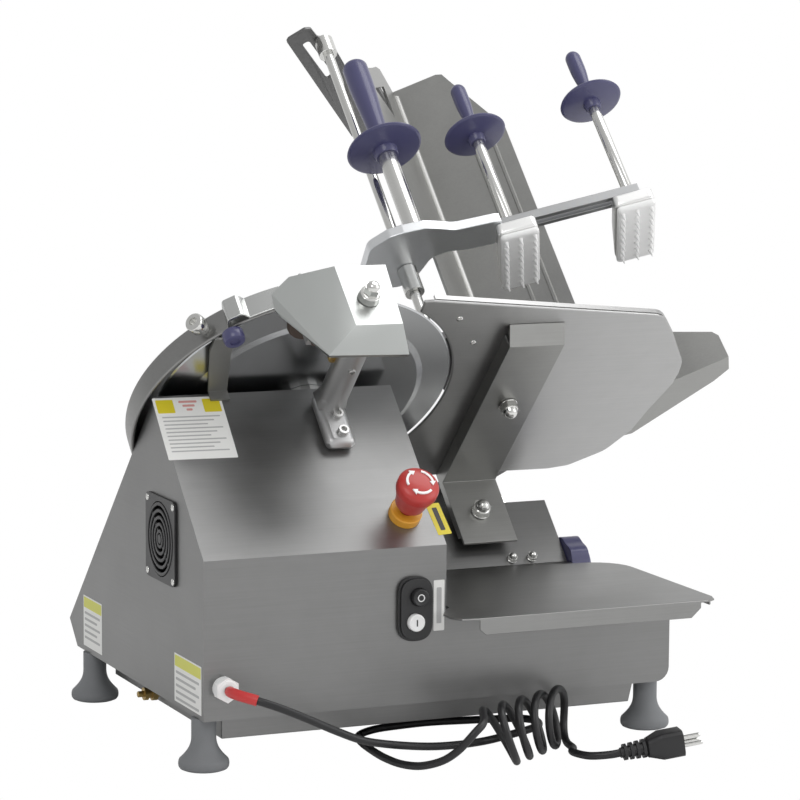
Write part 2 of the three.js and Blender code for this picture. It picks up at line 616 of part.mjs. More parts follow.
function beltOutline(margin) {
  const big = pulley.blade_radius + margin;
  const small = pulley.motor_radius + margin;
  const lean = Math.asin((big - small) / Math.abs(motor.y));
  const points = [];
  for (let step = 0; step <= 16; step += 1) {
    const angle = -lean + (Math.PI + 2 * lean) * step / 16;
    points.push([big * Math.cos(angle), big * Math.sin(angle)]);
  }
  for (let step = 0; step <= 14; step += 1) {
    const angle = Math.PI + lean + (Math.PI - 2 * lean) * step / 14;
    points.push([small * Math.cos(angle), motor.y + small * Math.sin(angle)]);
  }
  return points;
}

piece(slant, 'drive_belt', 'belt', slab(beltOutline(3.4), pulley.start + 2, pulley.width - 4,
  [beltOutline(0.8)]));

// Ring guard: a thin band around the blade with an inner lip, and the humped strap on top
function arcPoints(radius, from, to, steps) {
  return Array.from({ length: steps + 1 }, (_, i) => {
    const angle = THREE.MathUtils.degToRad(from + (to - from) * i / steps);
    return [radius * Math.sin(angle), radius * Math.cos(angle)];
  });
}

function arcBand(inner, outer, from, to, start, depth, steps) {
  const far = arcPoints(outer, from, to, steps);
  const near = arcPoints(inner, to, from, steps);
  return solid(slab([...far, ...near], start, depth));
}

function makeRing() {
  const r = ring;
  const inner = r.outer - r.wall;
  const span = r.near - r.far;
  const band = arcBand(inner, r.outer, r.start, r.end, r.far, span, 40);
  const lip = arcBand(r.lip_inner, inner + 1, r.start, r.end, r.far, 3, 40);
  const strap_far = r.far + 5;
  const strap = arcBand(r.outer - 1, r.outer + r.strap_thick, r.strap_from, r.strap_to, strap_far, 17, 8);
  const hump_outer = r.outer + r.hump_height + r.strap_thick;
  const hump = arcBand(r.outer + r.hump_height, hump_outer, r.strap_to - 2, r.hump_to, strap_far, 17, 3);
  const rise = arcBand(r.outer - 1, hump_outer, r.strap_to + 0.2, r.strap_to - 2.2, strap_far, 17, 1);
  const fall = arcBand(r.outer - 1, hump_outer, r.hump_to + 0.2, r.hump_to - 1, strap_far, 17, 1);
  return union([band, lip, strap, hump, rise, fall]);
}

piece(slant, 'ring_guard', 'steel', makeRing());

// Screw on the ring's rim and the blue knob that holds the deflector bracket
function makeRingScrew() {
  const geometry = turned([[0, 0], [5, 0], [5, 8], [9, 8], [9, 19], [7.5, 20], [4, 20], [4, 15], [0, 15]], 20);
  geometry.rotateX(-Math.PI / 2);
  geometry.translate(0, ring.outer + seat_gap, 0);
  geometry.rotateZ(THREE.MathUtils.degToRad(48.5));
  geometry.translate(0, 0, 3);
  return geometry;
}

piece(slant, 'ring_screw', 'chrome', makeRingScrew());

const knob_profile = [[0, 0.3], [4.5, 0.3], [4.5, 3], [10, 4], [10.3, 13], [9, 15], [5, 15.2], [4.6, 13.5], [0, 13.5]];
const knob_turn = THREE.MathUtils.degToRad(40.4);
const knob_reach = ring.outer - ring.wall / 2;
const knob_at = [-knob_reach * Math.sin(knob_turn), knob_reach * Math.cos(knob_turn)];
piece(slant, 'ring_knob', 'blue', turned(knob_profile, 18)).position.set(...knob_at, ring.near);

function makeDeflector() {
  const [x, y] = knob_at;
  const strip = [[-107, near_slope_y + 1.3], [-88, near_slope_y + 1.3], [x + 10, y - 36.5], [x + 10.5, y - 16.5],
    [x - 11.5, y - 15.5], [x - 11.5, y - 34.5]];
  const upright = solid(slab(strip, far_slope_z - 3.6, 2.6));
  const toe = solid(box(-107, -88, near_slope_y + seat_gap, near_slope_y + 2.6, far_slope_z - 3.6, far_slope_z + 9));
  return union([upright, toe]);
}

piece(slant, 'deflector_bracket', 'dark_steel', makeDeflector());

// Gauge plate with its round cut-out, and the folded bracket that carries it on the raised box
function makeGaugePlate() {
  const g = gauge;
  const plate = solid(slab(g.outline, 0, g.thick));
  const edge = g.outline.slice(1, 3);
  const fold = edge.map(([x, y]) => [x, y - g.thick]).reverse();
  const lip = solid(slab([...edge, ...fold], -g.lip, g.lip + 1));
  const opening = solid(disc(g.cut_radius, -2 * g.lip, 2 * g.lip, 76));
  return cut(plate.add(lip), [opening]);
}

piece(slant, 'gauge_plate', 'steel', makeGaugePlate());

function makeBracket() {
  const b = bracket;
  const near = gauge.thick + seat_gap;
  const inner = b.face - b.thick;
  const reach = b.face - near;
  const profile = [[b.top + reach, near], [b.top, b.face], [b.fold, b.face], [b.fold, b.foot],
    [b.fold - b.thick, b.foot], [b.fold - b.thick, inner], [b.top - 1.2, inner], [b.top - 1.2 + reach - 3, near]];
  const strip = slabAlongX(profile, b.left, b.right - b.left);
  const side = solid(box(b.left, b.left + b.flange, b.fold - 8, b.top, near, b.face));
  const low_side = solid(box(b.left, b.left + b.flange, b.fold - 9, b.fold, b.face - 3, b.foot - 12));
  const centre = (b.left + b.right) / 2;
  const half = b.slider_width / 2;
  const slide_block = solid(box(centre - half, centre + half, raised_slope_y + seat_gap, b.fold - b.thick / 2,
    b.slider_from, b.slider_to));
  const body = solid(strip);
  return union([body, side, low_side, slide_block]);
}

piece(slant, 'gauge_bracket', 'steel', makeBracket());

// An acorn nut on its washer, standing on z = 0
function acorn() {
  const washer = solid(disc(9.5, 0.3, 2, 18));
  const hex = solid(disc(8.6, 2, 8.5, 6));
  const dome = solid(turned([[0, 8], [7.2, 8], [7, 11], [5.6, 14], [3.2, 16], [0, 16.6]], 14));
  return geometryOf(union([washer, hex, dome]));
}

piece(slant, 'gauge_nut_upper', 'chrome', acorn()).position.set(nuts.x, nuts.upper_y, bracket.face);
piece(slant, 'gauge_nut_lower', 'chrome', alongSlope(acorn())).position.set(nuts.x, bracket.fold, nuts.lower_n);

// Thickness dial on the right end of the raised box
function makeDial() {
  const d = dial;
  const outline = [];
  for (let i = 0; i < 48; i += 1) {
    const angle = 2 * Math.PI * i / 48;
    const radius = d.radius - d.lobe_depth * (1 - Math.cos(d.lobes * angle)) / 2;
    outline.push([radius * Math.cos(angle), radius * Math.sin(angle)]);
  }
  const knob = solid(slab(outline, 1, d.length - 3));
  const face = solid(disc(d.radius - 5, d.length - 3, d.length, 32));
  const shaft = solid(disc(d.shaft, -24, 2, 20));
  return alongX(geometryOf(union([knob, face, shaft])));
}

piece(machine, 'thickness_dial', 'blue', makeDial()).position.set(raised_length, dial.y, dial.z);

// Sharpener: block and post on the near slope, faceted cast cover with two stones under it
function makeSharpenerPost() {
  const s = sharpener;
  const low = near_slope_y + seat_gap;
  const top = near_slope_y + s.block_thick;
  const slab_body = solid(box(s.block_left, s.block_right, low, top, s.block_far, s.block_near));
  const post = solid(shifted(alongSlope(disc(s.post_radius, 0, s.post_top - top + 2, 24)), s.post_x, top - 2, s.post_n));
  const fillet = solid(convex([[s.block_left + 1, top - 1, s.block_far], [s.block_right - 2, top - 1, s.block_far],
    [s.block_left + 1, top - 1, s.post_n + 22], [s.block_right - 2, top - 1, s.post_n + 22],
    [s.post_x - 9, top + 24, s.post_n - 6], [s.post_x + 9, top + 24, s.post_n - 6],
    [s.post_x - 9, top + 24, s.post_n + 9], [s.post_x + 9, top + 24, s.post_n + 9]]));
  const screws = [58.5, 78.5].map((n) => solid(shifted(alongSlope(disc(5.5, -1, 4.5, 18)), 8, top, n)));
  return union([slab_body, post, fillet, ...screws]);
}

piece(slant, 'sharpener_post', 'cast', makeSharpenerPost());

function makeCover() {
  const s = sharpener;
  const corners = [...cover_top, ...cover_rim];
  const middle = corners.reduce((sum, p) => sum.map((v, i) => v + p[i] / corners.length), [0, 0, 0]);
  const inward = ([x, y, n], drop) => [x - Math.sign(x - middle[0]) * s.wall, y - drop,
    n - Math.sign(n - middle[2]) * s.wall];
  const inner = [...cover_top.map((p) => inward(p, s.wall)), ...cover_rim.map((p) => inward(p, s.wall)),
    ...cover_rim.map((p) => inward(p, 4 * foot.radius))];
  const hull = solid(convex([...cover_top, ...cover_rim, ...cover_rim.map(([x, y, n]) => [x, y - 60, n])]));
  const shell = solid(convex(corners)).subtract(solid(convex(inner)));
  // sleeve that slides on the post, and the two webs that hold the stones
  const w = cover_web;
  const sleeve = solid(shifted(alongSlope(slab(circle(s.post_radius + 3.5, 20), blade_radius + w.sleeve_low, w.top,
    [circle(s.post_radius + 0.5, 20)])), s.post_x, 0, s.post_n));
  const half = stone.web / 2;
  const low = stone.y - half;
  const near_web = solid(box(stone.x - half, stone.x + half, low, blade_radius + w.top,
    stone.near + stone.thick + 4, w.near_to));
  const far_web = solid(box(stone.x - half, stone.x + half, low, blade_radius + w.far_top, w.far,
    stone.far - stone.thick - 2));
  const bridge = solid(box(stone.x - half, stone.x + half, blade_radius + w.bridge_low,
    blade_radius + w.bridge_top, w.far, stone.far + seat_gap / 3));
  const bore = solid(shifted(disc(stone.spindle + 0.4, -60, 60, 18), stone.x, stone.y, 0));
  const bolt_hole = solid(shifted(alongSlope(disc(4.4, -20, 20, 18)), cover_bolt.x, cover_bolt.seat, cover_bolt.n));
  const webs = union([near_web, sleeve]).intersect(hull);
  return cut(union([shell, webs, far_web, bridge]), [bore, bolt_hole]);
}

piece(slant, 'sharpener_cover', 'cast', makeCover());

const bolt_profile = [[0, -14], [4, -14], [4, 0], [10.5, 0.3], [9.5, 7], [7, 8]];
function makeCoverBolt() {
  const stem = solid(turned([...bolt_profile, [0, 8]], 20));
  const hex = solid(disc(7.6, 7.5, 16, 6));
  const dome = solid(turned([[0, 15.5], [6.4, 15.5], [5.4, 18.5], [3, 20.5], [0, 21]], 16));
  return alongSlope(geometryOf(union([stem, hex, dome])));
}

piece(slant, 'cover_bolt', 'chrome', makeCoverBolt()).position.set(cover_bolt.x, cover_bolt.seat, cover_bolt.n);

// A grinding stone on its spindle, along z from start
function makeStone(start, sign, reach) {
  const z = (d) => start + sign * d;
  const profile = [[0, z(0)], [stone.radius, z(0)], [stone.radius + 0.6, z(3)], [stone.radius - 1, z(stone.thick)],
    [stone.spindle, z(stone.thick)], [stone.spindle, z(reach)], [0, z(reach)]];
  return turned(sign > 0 ? profile : profile.reverse(), 18);
}

piece(slant, 'grinding_stone', 'stone', makeStone(stone.near, 1, 28)).position.set(stone.x, stone.y, 0);
piece(slant, 'truing_stone', 'stone', makeStone(stone.far, -1, 16)).position.set(stone.x, stone.y, 0);

// Carriage trough: floor, side wall with a hand hole, and the skirt over the gauge plate
// In its frame x runs along the floor's slope, y along the wall's, and z is minus the distance from the blade
function awayFromBlade(points) {
  return points.map(([a, w]) => [a, -w]);
}

function makeTrough() {
  const c = carriage;
  const floor = slab(awayFromBlade(c.floor), 0, c.sheet);
  floor.applyMatrix4(new THREE.Matrix4().set(1, 0, 0, 0, 0, 0, -1, 0, 0, 1, 0, 0, 0, 0, 0, 1));
  const wall = slab(awayFromBlade(c.wall), 0, c.sheet, [awayFromBlade(c.hole)]);
  wall.applyMatrix4(new THREE.Matrix4().set(0, 0, 1, -c.sheet, 1, 0, 0, 0, 0, 1, 0, 0, 0, 0, 0, 1));
  const skirt = slab(c.skirt, -c.floor_start, c.sheet);
  const ribs = c.rib_places.map((s) => {
    const half = c.rib_width / 2;
    const section = [[s - half, -0.5], [s + half, -0.5], [s + half / 2, c.rib_height], [s - half / 2, c.rib_height]];
    return solid(slab(section, -384, 284));
  });
  const fold = solid(slab([[-c.sheet, -c.sheet], [7, -0.5], [3.4, 0.9], [0.9, 3.4], [-0.5, 7]], -480, 470));
  return union([solid(floor), solid(wall), solid(skirt), ...ribs, fold]);
}

piece(trough, 'carriage_trough', 'steel', makeTrough());

// Slotted plate that carries the upper end of the guide rod, with its foot against the trough's wall
function makeHandlePlate() {
  const h = handle_plate;
  const plate = solid(slab(h.outline, -h.from - h.thick, h.thick, [h.slot]));
  const [low, high] = h.foot;
  const face = -carriage.sheet - seat_gap;
  const neck = solid(slab([[-30, low], [face, low], [face, high], [-30, high + 20]], -h.from - h.thick, h.thick));
  const ear = solid(box(face - h.thick, face, low, high, -h.from - h.thick / 2, -h.from + h.ear));
  return union([plate, neck, ear]);
}

piece(trough, 'handle_plate', 'dark_steel', makeHandlePlate());

// Guide rod of the meat arm, with its end cap and the shoe that stands in the carriage arm
function makeGuideRod() {
  const a = arm;
  const rod = solid(disc(a.rod_radius, -a.rod_to, -a.rod_from, 20));
  const cap = solid(disc(a.cap_radius, -a.rod_to, -a.cap_from, 24));
  const shoe = solid(disc(a.rod_radius + 5, -a.rod_from - a.shoe, -a.rod_from, 24));
  return union([rod, cap, shoe]);
}

piece(slant, 'guide_rod', 'chrome', makeGuideRod()).position.set(arm.rod[0], arm.rod[1], 0);

// Rail behind the housing, its end posts, and the carriage arm that runs on it
function makeRail() {
  const r = rail;
  const bar = solid(shifted(alongX(disc(r.radius, r.from, r.to, 18)), 0, r.y, r.n));
  const left_post = solid(box(r.from, r.from + r.post, r.y - 12, r.y + 12, r.n - 2, far_slope_z - seat_gap));
  const right_post = solid(box(r.to - r.post, r.to, r.y - 12, r.y + 12, r.n - 2, raised_far_z - seat_gap));
  return union([bar, left_post, right_post]);
}

piece(slant, 'slide_rail', 'chrome', makeRail());

// A point given in the trough's frame, in the slanted frame
function fromTrough(s, m) {
  const turn = trough.rotation.z;
  return [carriage.corner[0] + s * Math.cos(turn) - m * Math.sin(turn),
    carriage.corner[1] + s * Math.sin(turn) + m * Math.cos(turn)];
}

function makeCarriageArm() {
  const s = slider;
  const r = rail;
  const half = s.width / 2;
  const face = -carriage.sheet - seat_gap;
  const carrier = solid(box(s.from, s.to, r.y - half, r.y + half, r.n - half, r.n + half));
  const bore = solid(shifted(alongX(disc(r.radius + 0.5, s.from - 5, s.to + 5, 28)), 0, r.y, r.n));
  const web = [[s.from, r.y + 5], [s.to, r.y + 5], fromTrough(44, -46), fromTrough(60, face),
    fromTrough(face, face), fromTrough(face, 186), fromTrough(-14, 206), fromTrough(-44, 208),
    fromTrough(-46, 176), fromTrough(-40, -20)];
  const plate = solid(slab(web, s.arm_near - s.arm_thick, s.arm_thick));
  const rod_hole = solid(shifted(disc(arm.rod_radius + 5 + 2 * seat_gap, -60, 0, 28), arm.rod[0], arm.rod[1], 0));
  return cut(carrier.add(plate), [bore, rod_hole]);
}

piece(slant, 'carriage_arm', 'dark_steel', makeCarriageArm());

// Meat arm: sleeve that slides on the guide rod, casting that swings about it, slotted bar
function makeArmSleeve() {
  const a = arm;
  const bore = a.rod_radius + 0.4;
  const top = -a.near + seat_gap + a.sleeve_length;
  return turned([[bore, top - a.sleeve_length], [a.sleeve_radius, top - a.sleeve_length], [a.sleeve_radius, top],
    [bore, top], [bore, top - a.sleeve_length]], 22);
}

piece(slant, 'arm_sleeve', 'chrome', makeArmSleeve()).position.set(arm.rod[0], arm.rod[1], 0);

function makeArmCasting() {
  const a = arm;
  const plate = solid(slab(a.outline, -a.far, a.far - a.near));
  const boss = solid(shifted(disc(a.boss, -a.far - 10, -a.near, 28), a.rod[0], a.rod[1], 0));
  const bore = solid(shifted(disc(a.rod_radius + 0.4, -200, 0, 22), a.rod[0], a.rod[1], 0));
  const end = box(a.bar_start - seat_gap, 200, -60, 60, -200, 0);
  end.rotateZ(THREE.MathUtils.degToRad(a.tilt));
  end.translate(a.bar_origin[0], a.bar_origin[1], 0);
  return plate.add(boss).subtract(bore).subtract(solid(end));
}

piece(slant, 'arm_casting', 'cast', makeArmCasting());

// The bar's own frame: x along the bar, y across it, z towards the slice side
const bar_group = new THREE.Group();
bar_group.position.set(arm.bar_origin[0], arm.bar_origin[1], 0);
bar_group.rotation.z = THREE.MathUtils.degToRad(arm.tilt);
slant.add(bar_group);

function makeBar() {
  const a = arm;
  const half = a.bar_width / 2;
  const start = a.bar_start;
  const body = solid(box(start, a.bar_end, -half, half, -a.bar_far, -a.bar_near));
  const slot = solid(box(start + 6, a.bar_end - 6, -a.slot / 2, a.slot / 2, -a.bar_far - 1, -a.bar_near + 1));
  return body.subtract(slot);
}

piece(bar_group, 'slotted_bar', 'cast', makeBar());

// Handle rod and the big grip with its round finger guard, standing on the casting
function gripProfile(rod, guard, waist, tip, length) {
  return [[0, 0.3], [rod + 2, 0.3], [rod + 3.5, 8], [guard - 2, 10], [guard, 11.5], [guard - 1, 13.5],
    [waist + 5, 16], [waist + 0.5, 20], [tip, length - 22], [tip, length - 6], [tip * 0.8, length - 1.5],
    [tip * 0.4, length], [0, length]];
}

function awayFrom(geometry) {
  geometry.rotateX(Math.PI);
  return geometry;
}

const guard_level = 11.5;
const big_rod_end = big_grip.disc_at - guard_level;
piece(slant, 'handle_rod', 'chrome', awayFrom(disc(big_grip.rod_radius, arm.far + seat_gap, big_rod_end, 28)))
  .position.set(big_grip.x, big_grip.y, 0);
const big_handle = awayFrom(turned(gripProfile(big_grip.rod_radius, big_grip.guard, big_grip.waist, big_grip.radius,
  big_grip.length), 22));
piece(slant, 'handle_grip', 'blue', big_handle).position.set(big_grip.x, big_grip.y, -big_rod_end);

// Meat blocks: aluminium body in front of the bar, stud through its slot, rod, white spiked pad, grip with guard
function makeClamp(rod_end, rod_x, drop) {
  const b = { ...block, top: block.top - drop, bottom: block.bottom - drop };
  const half = b.width / 2;
  const back = -arm.near + seat_gap;
  const front = -b.near;
  const body = solid(convex([[-half + 3, b.top, back], [half - 3, b.top, back], [-half, b.top - 3, back],
    [half, b.top - 3, back], [-half + 3, b.top - 1, front], [half - 3, b.top - 1, front], [-half, b.top - 4, front],
    [half, b.top - 4, front], [-half + b.taper, b.bottom + 4, back + 6], [half - b.taper, b.bottom + 4, back + 6],
    [-half, b.top - 40, back], [half, b.top - 40, back], [-half, b.bottom, front], [half, b.bottom, front]]));
  const stud = solid(shifted(disc(b.stud, -arm.bar_far - 4, back + 2, 16), rod_x, 0, 0));
  const rod = solid(shifted(disc(b.rod_radius, -rod_end, -arm.bar_far - seat_gap, 20), rod_x, 0, 0));
  return union([body, stud, rod]);
}

function makePad(drop) {
  const b = { ...block, top: block.top - drop, bottom: block.bottom - drop };
  const height = b.top - b.bottom - 1;
  const near = -b.near + seat_gap;
  const half = b.width / 2 - 0.5;
  const outline = roundRectangle(2 * half, height, 5, 3);
  const plate = solid(shifted(slab(outline, near, b.pad), 0, (b.top + b.bottom) / 2 - 0.5, 0));
  const spikes = [];
  for (let column = 0; column < b.columns; column += 1) {
    for (let row = 0; row < b.rows; row += 1) {
      const spike = turned([[0, -1], [b.spike_radius, -1], [0.5, b.spike], [0, b.spike]], 4);
      const x = (column - (b.columns - 1) / 2) * half * 0.74;
      const y = b.top - 9 - row * (height - 17) / (b.rows - 1);
      spikes.push(solid(shifted(spike, x, y, near + b.pad)));
    }
  }
  return union([plate, ...spikes]);
}

block.names.forEach((name, index) => {
  const holder = new THREE.Group();
  holder.position.set(block.along[index], 0, 0);
  bar_group.add(holder);
  const b = block;
  const rod_end = b.disc_at[index] - guard_level;
  const rod_x = b.rod_x[index];
  piece(holder, `${name}_clamp`, 'cast', makeClamp(rod_end, rod_x, b.drop[index]));
  piece(holder, `${name}_pad`, 'white', makePad(b.drop[index]));
  const grip = awayFrom(turned(gripProfile(b.rod_radius, b.guard_radius, b.waist, b.tip, b.grip_length), 18));
  piece(holder, `${name}_grip`, 'blue', grip).position.set(rod_x, 0, -rod_end);
});

// Mains cord: a free lead, a wound bundle and a short tail to the plug
// Each loop is a circle whose plane turns and leans as the winding goes on
function bundlePoint(turn) {
  const b = bundle;
  const last = THREE.MathUtils.smoothstep(turn, b.last_from, b.to);
  const back = THREE.MathUtils.smoothstep(turn, b.to - 0.5, b.to);
  const share = Math.min(Math.max(turn / b.last_from, 0), 1);
  const degrees = b.facing + b.facing_more * share + b.facing_last * last - b.turn_back * back;
  const facing = THREE.MathUtils.degToRad(degrees);
  const angle = 2 * Math.PI * (turn + 0.25);
  const out = -b.radius * Math.cos(angle);
  const up = Math.sin(angle);
  const x = b.centre[0] + b.step[0] * turn + b.last_shift[0] * last + (b.lean[0] + b.lean[1] * turn) * up;
  const y = b.centre[1] + b.step[1] * turn + b.last_shift[1] * last + b.lean_y * up;
  const rest = b.floor + b.lift * Math.min(turn, b.last_from) * (1 - back);
  return new THREE.Vector3(x + out * Math.sin(facing), y + out * Math.cos(facing),
    rest + b.radius + b.radius * up);
}

class Winding extends THREE.Curve {
  getPoint(share, target = new THREE.Vector3()) {
    const b = bundle;
    const end = b.straight_share;
    const inner = Math.min(Math.max(share, end), 1 - end);
    const past = (share - inner) / end * b.straight;
    const point = bundlePoint(b.from + (inner - end) / (1 - 2 * end) * (b.to - b.from));
    if (past === 0) return target.copy(point);
    const turn = past < 0 ? b.from : b.to;
    const way = bundlePoint(turn + 0.001).sub(bundlePoint(turn - 0.001)).normalize();
    return target.copy(point.addScaledVector(way, past));
  }
}

function leastGap(curve, steps, skip) {
  const points = Array.from({ length: steps + 1 }, (_, i) => curve.getPoint(i / steps));
  let least = Infinity;
  for (let i = 0; i < points.length; i += 1) {
    for (let j = i + skip; j < points.length; j += 1) {
      least = Math.min(least, points[i].distanceTo(points[j]) - 2 * cord.radius);
    }
  }
  return least;
}

const winding = new Winding();
const bundle_geometry = new THREE.ExtrudeGeometry(shapeOf(circle(cord.radius, cord.bundle_sides)),
  { steps: bundle.steps, extrudePath: winding, bevelEnabled: false });
console.log(`least gap between the cord's turns: ${leastGap(winding, 600, 60).toFixed(2)} mm`);

const entry = winding.getPoint(0);
const entry_way = winding.getPoint(0.002).sub(entry).normalize();
const leave = winding.getPoint(1);
const leave_way = leave.clone().sub(winding.getPoint(0.998)).normalize();
const step_back = (d) => entry.clone().addScaledVector(entry_way, -d).toArray();
const step_on = (d) => leave.clone().addScaledVector(leave_way, d).toArray();
const straight_end = 2 * cord.radius;

piece(machine, 'mains_cord_lead', 'black', tube([...lead_points, step_back(straight_end + 1), step_back(0.4)],
  cord.radius, cord.sides, cord.lead_steps));
piece(machine, 'mains_cord_bundle', 'black', bundle_geometry);
const plug_rise = THREE.MathUtils.degToRad(plug.rise);
const plug_turn = THREE.MathUtils.degToRad(plug.turn);
const behindPlug = (d) => new THREE.Vector3(0, 0, -d).applyMatrix4(plugTurn()).toArray();
piece(machine, 'mains_cord_tail', 'black', tube([step_on(0.4), step_on(straight_end + 1), ...tail_points,
  behindPlug(plug.relief + straight_end + 2), behindPlug(plug.relief + 0.5)],
cord.radius, cord.sides, cord.tail_steps));

// Plug: ribbed strain relief, tapered body, three round pins
function makePlug() {
  const p = plug;
  const relief = [[0, -p.relief], [5, -p.relief]];
  for (let i = 0; i < 4; i += 1) {
    const x = -p.relief + 3 + i * 6;
    relief.push([5.2 + i * 0.4, x], [8 + i * 0.4, x], [8 + i * 0.4, x + 3], [5.2 + i * 0.4, x + 3]);
  }
  const profile = [...relief, [9, -1], [10, 0], [0, 0]];
  const body = convex([...roundRectangle(18, 17, 5, 3).map(([a, b]) => [a, b, -1]),
    ...roundRectangle(27, 25, 6, 3).map(([a, b]) => [a, b, 12]),
    ...roundRectangle(27, 25, 6, 3).map(([a, b]) => [a, b, p.length])]);
  const whole = union([solid(turned(profile, 10)), solid(body)]);
  const sockets = pinPlaces().map(([a, b]) => solid(shifted(disc(2.3, p.length - 8, p.length + 2, 10), a, b, 0)));
  const geometry = geometryOf(cut(whole, sockets));
  return geometry.applyMatrix4(plugTurn());
}

function pinPlaces() {
  const p = plug;
  return [[0, 3, 'plug_pin_earth'], [-p.pin_gap, -3, 'plug_pin_live'], [p.pin_gap, -3, 'plug_pin_neutral']];
}

// Plug axes: z runs about along +x of the machine and rises a little, y up
function plugTurn() {
  const c = Math.cos(plug_rise);
  const s = Math.sin(plug_rise);
  const side = Math.sin(plug_turn);
  const ahead = Math.cos(plug_turn);
  return new THREE.Matrix4().set(-side, -s * ahead, c * ahead, plug.x, ahead, -s * side, c * side, plug.y,
    0, c, s, plug.z, 0, 0, 0, 1);
}

piece(machine, 'plug_body', 'black', makePlug());
for (const [a, b, name] of pinPlaces()) {
  const pin = turned([[0, plug.length - 7], [2, plug.length - 7], [2, plug.length + plug.pin - 1.5],
    [1.2, plug.length + plug.pin], [0, plug.length + plug.pin]], 10);
  piece(machine, name, 'chrome', shifted(pin, a, b, 0).applyMatrix4(plugTurn()));
}

// The origin is under the middle of the machine's box, the cord left out
machine.updateMatrixWorld(true);
const bounds = new THREE.Box3();
const cord_names = /^(mains_cord|plug_)/;
machine.traverse((node) => {
  if (node.isMesh && !cord_names.test(node.name)) bounds.expandByObject(node, true);
});
const middle = bounds.getCenter(new THREE.Vector3());
machine.position.set(-middle.x, -middle.y, -bounds.min.z);

const slicer = new THREE.Group();
slicer.name = 'deli_slicer';
slicer.add(machine);

export default slicer;
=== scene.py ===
"""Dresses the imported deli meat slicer: fine forms, materials, cord, labels, light and camera."""
import math

import bmesh
import bpy
import numpy as np
from bpy.props import FloatProperty, IntProperty, PointerProperty
from bpy.types import Operator, Panel, PropertyGroup
from mathutils import Matrix, Vector
from mathutils.geometry import tessellate_polygon


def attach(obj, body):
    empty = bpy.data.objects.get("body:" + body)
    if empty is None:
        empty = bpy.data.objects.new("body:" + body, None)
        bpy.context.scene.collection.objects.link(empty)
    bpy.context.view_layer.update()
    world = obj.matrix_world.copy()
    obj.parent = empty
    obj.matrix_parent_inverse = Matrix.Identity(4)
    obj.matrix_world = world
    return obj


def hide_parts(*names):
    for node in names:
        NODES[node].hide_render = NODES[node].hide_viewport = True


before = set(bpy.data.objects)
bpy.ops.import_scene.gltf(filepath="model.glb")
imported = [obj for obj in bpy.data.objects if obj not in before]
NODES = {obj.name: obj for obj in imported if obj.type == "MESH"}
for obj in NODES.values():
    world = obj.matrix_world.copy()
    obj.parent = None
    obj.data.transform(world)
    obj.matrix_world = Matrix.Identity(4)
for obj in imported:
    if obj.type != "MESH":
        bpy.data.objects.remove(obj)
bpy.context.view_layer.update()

bl_info = {
    "name": "Deli slicer dressing",
    "version": (1, 0, 0),
    "blender": (4, 5, 0),
    "location": "3D View > Sidebar > Slicer",
    "description": "Builds the slicer's fine pieces, materials, cord, light and camera",
    "category": "Object",
}


def spin(axis, degrees):
    """A turn about one of the axes."""
    return Matrix.Rotation(math.radians(degrees), 4, axis)


def at(matrix, x, y, z=0.0):
    """The frame moved to a point given in it."""
    return matrix @ Matrix.Translation((x, y, z))


# Frames of the source, in millimetres, as matrices to the row frame in metres
MACHINE = Matrix.Translation((-0.306597, -0.263247, 0.0)) @ Matrix.Scale(0.001, 4)
SLANT = at(MACHINE, 161.0, 167.5, 319.2) @ spin("X", 135.0)
TROUGH = at(SLANT, 276.8, -105.3) @ spin("Z", 35.86)
BAR = at(SLANT, 285.0, 109.4) @ spin("Z", 19.9)
GUIDE_ROD = at(SLANT, 139.4, 32.8)
HANDLE_ROD = at(SLANT, 136.5, 79.9)
STONE_AXIS = (-33, 131)
SLOPE_AXIS = spin("X", -90.0)
AWAY_AXIS = spin("X", 180.0)
X_AXIS = spin("Y", 90.0)

# The housing's flat sides, with z outward
NEAR_Y = 32.032
LEFT_PANEL = MACHINE @ Matrix(((0, 0, -1, 0), (-1, 0, 0, 0), (0, 1, 0, 0), (0, 0, 0, 1)))
FRONT_PANEL = MACHINE @ Matrix(((1, 0, 0, 0), (0, 0, -1, 0), (0, 1, 0, 0), (0, 0, 0, 1)))
NEAR_SLOPE = SLANT @ Matrix(((1, 0, 0, 0), (0, 0, 1, NEAR_Y), (0, -1, 0, 0), (0, 0, 0, 1)))

# A bevel wider than any face, in millimetres: the clamp then rounds edges as far as the faces allow
FULL = 1000.0
# A bare label's gap over its panel and its thickness in millimetres, and the gap of the print on it
LABEL_GAP, LABEL_THICK, PRINT_GAP = 0.05, 0.15, 0.17


# Mesh helpers
def make(name, part, place, body, finish, smooth=30.0, stands_for="", edge=0.0):
    """A mesh object from a (verts, faces) pair in millimetres in a frame, riding on a CAD body.

    It is shaded smooth over edges up to an angle in degrees, and edge is its bevel's width."""
    verts, faces = part
    local = np.asarray(verts, float).reshape(-1, 3)
    turn = np.array(place)
    world = local @ turn[:3, :3].T + turn[:3, 3]
    mesh = bpy.data.meshes.new(name)
    mesh.from_pydata(world.tolist(), [], faces)
    places = mesh.attributes.new("place", "FLOAT_VECTOR", "POINT")
    places.data.foreach_set("vector", local.astype(np.float32).ravel())
    mesh.validate()
    mesh.update()
    mesh.shade_smooth()
    mesh.set_sharp_from_angle(angle=math.radians(smooth))
    piece = bpy.data.objects.new(name, mesh)
    bpy.context.scene.collection.objects.link(piece)
    if edge:
        soften(piece, edge)
    mesh.materials.append(material_of(finish))
    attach(piece, body)
    if stands_for:
        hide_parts(stands_for)
    return piece


def join(*parts):
    """Several (verts, faces) pairs as one."""
    starts = np.cumsum([0] + [len(verts) for verts, _ in parts]).tolist()
    faces = [[i + start for i in face] for (_, own), start in zip(parts, starts) for face in own]
    return np.concatenate([np.asarray(verts, float) for verts, _ in parts]), faces


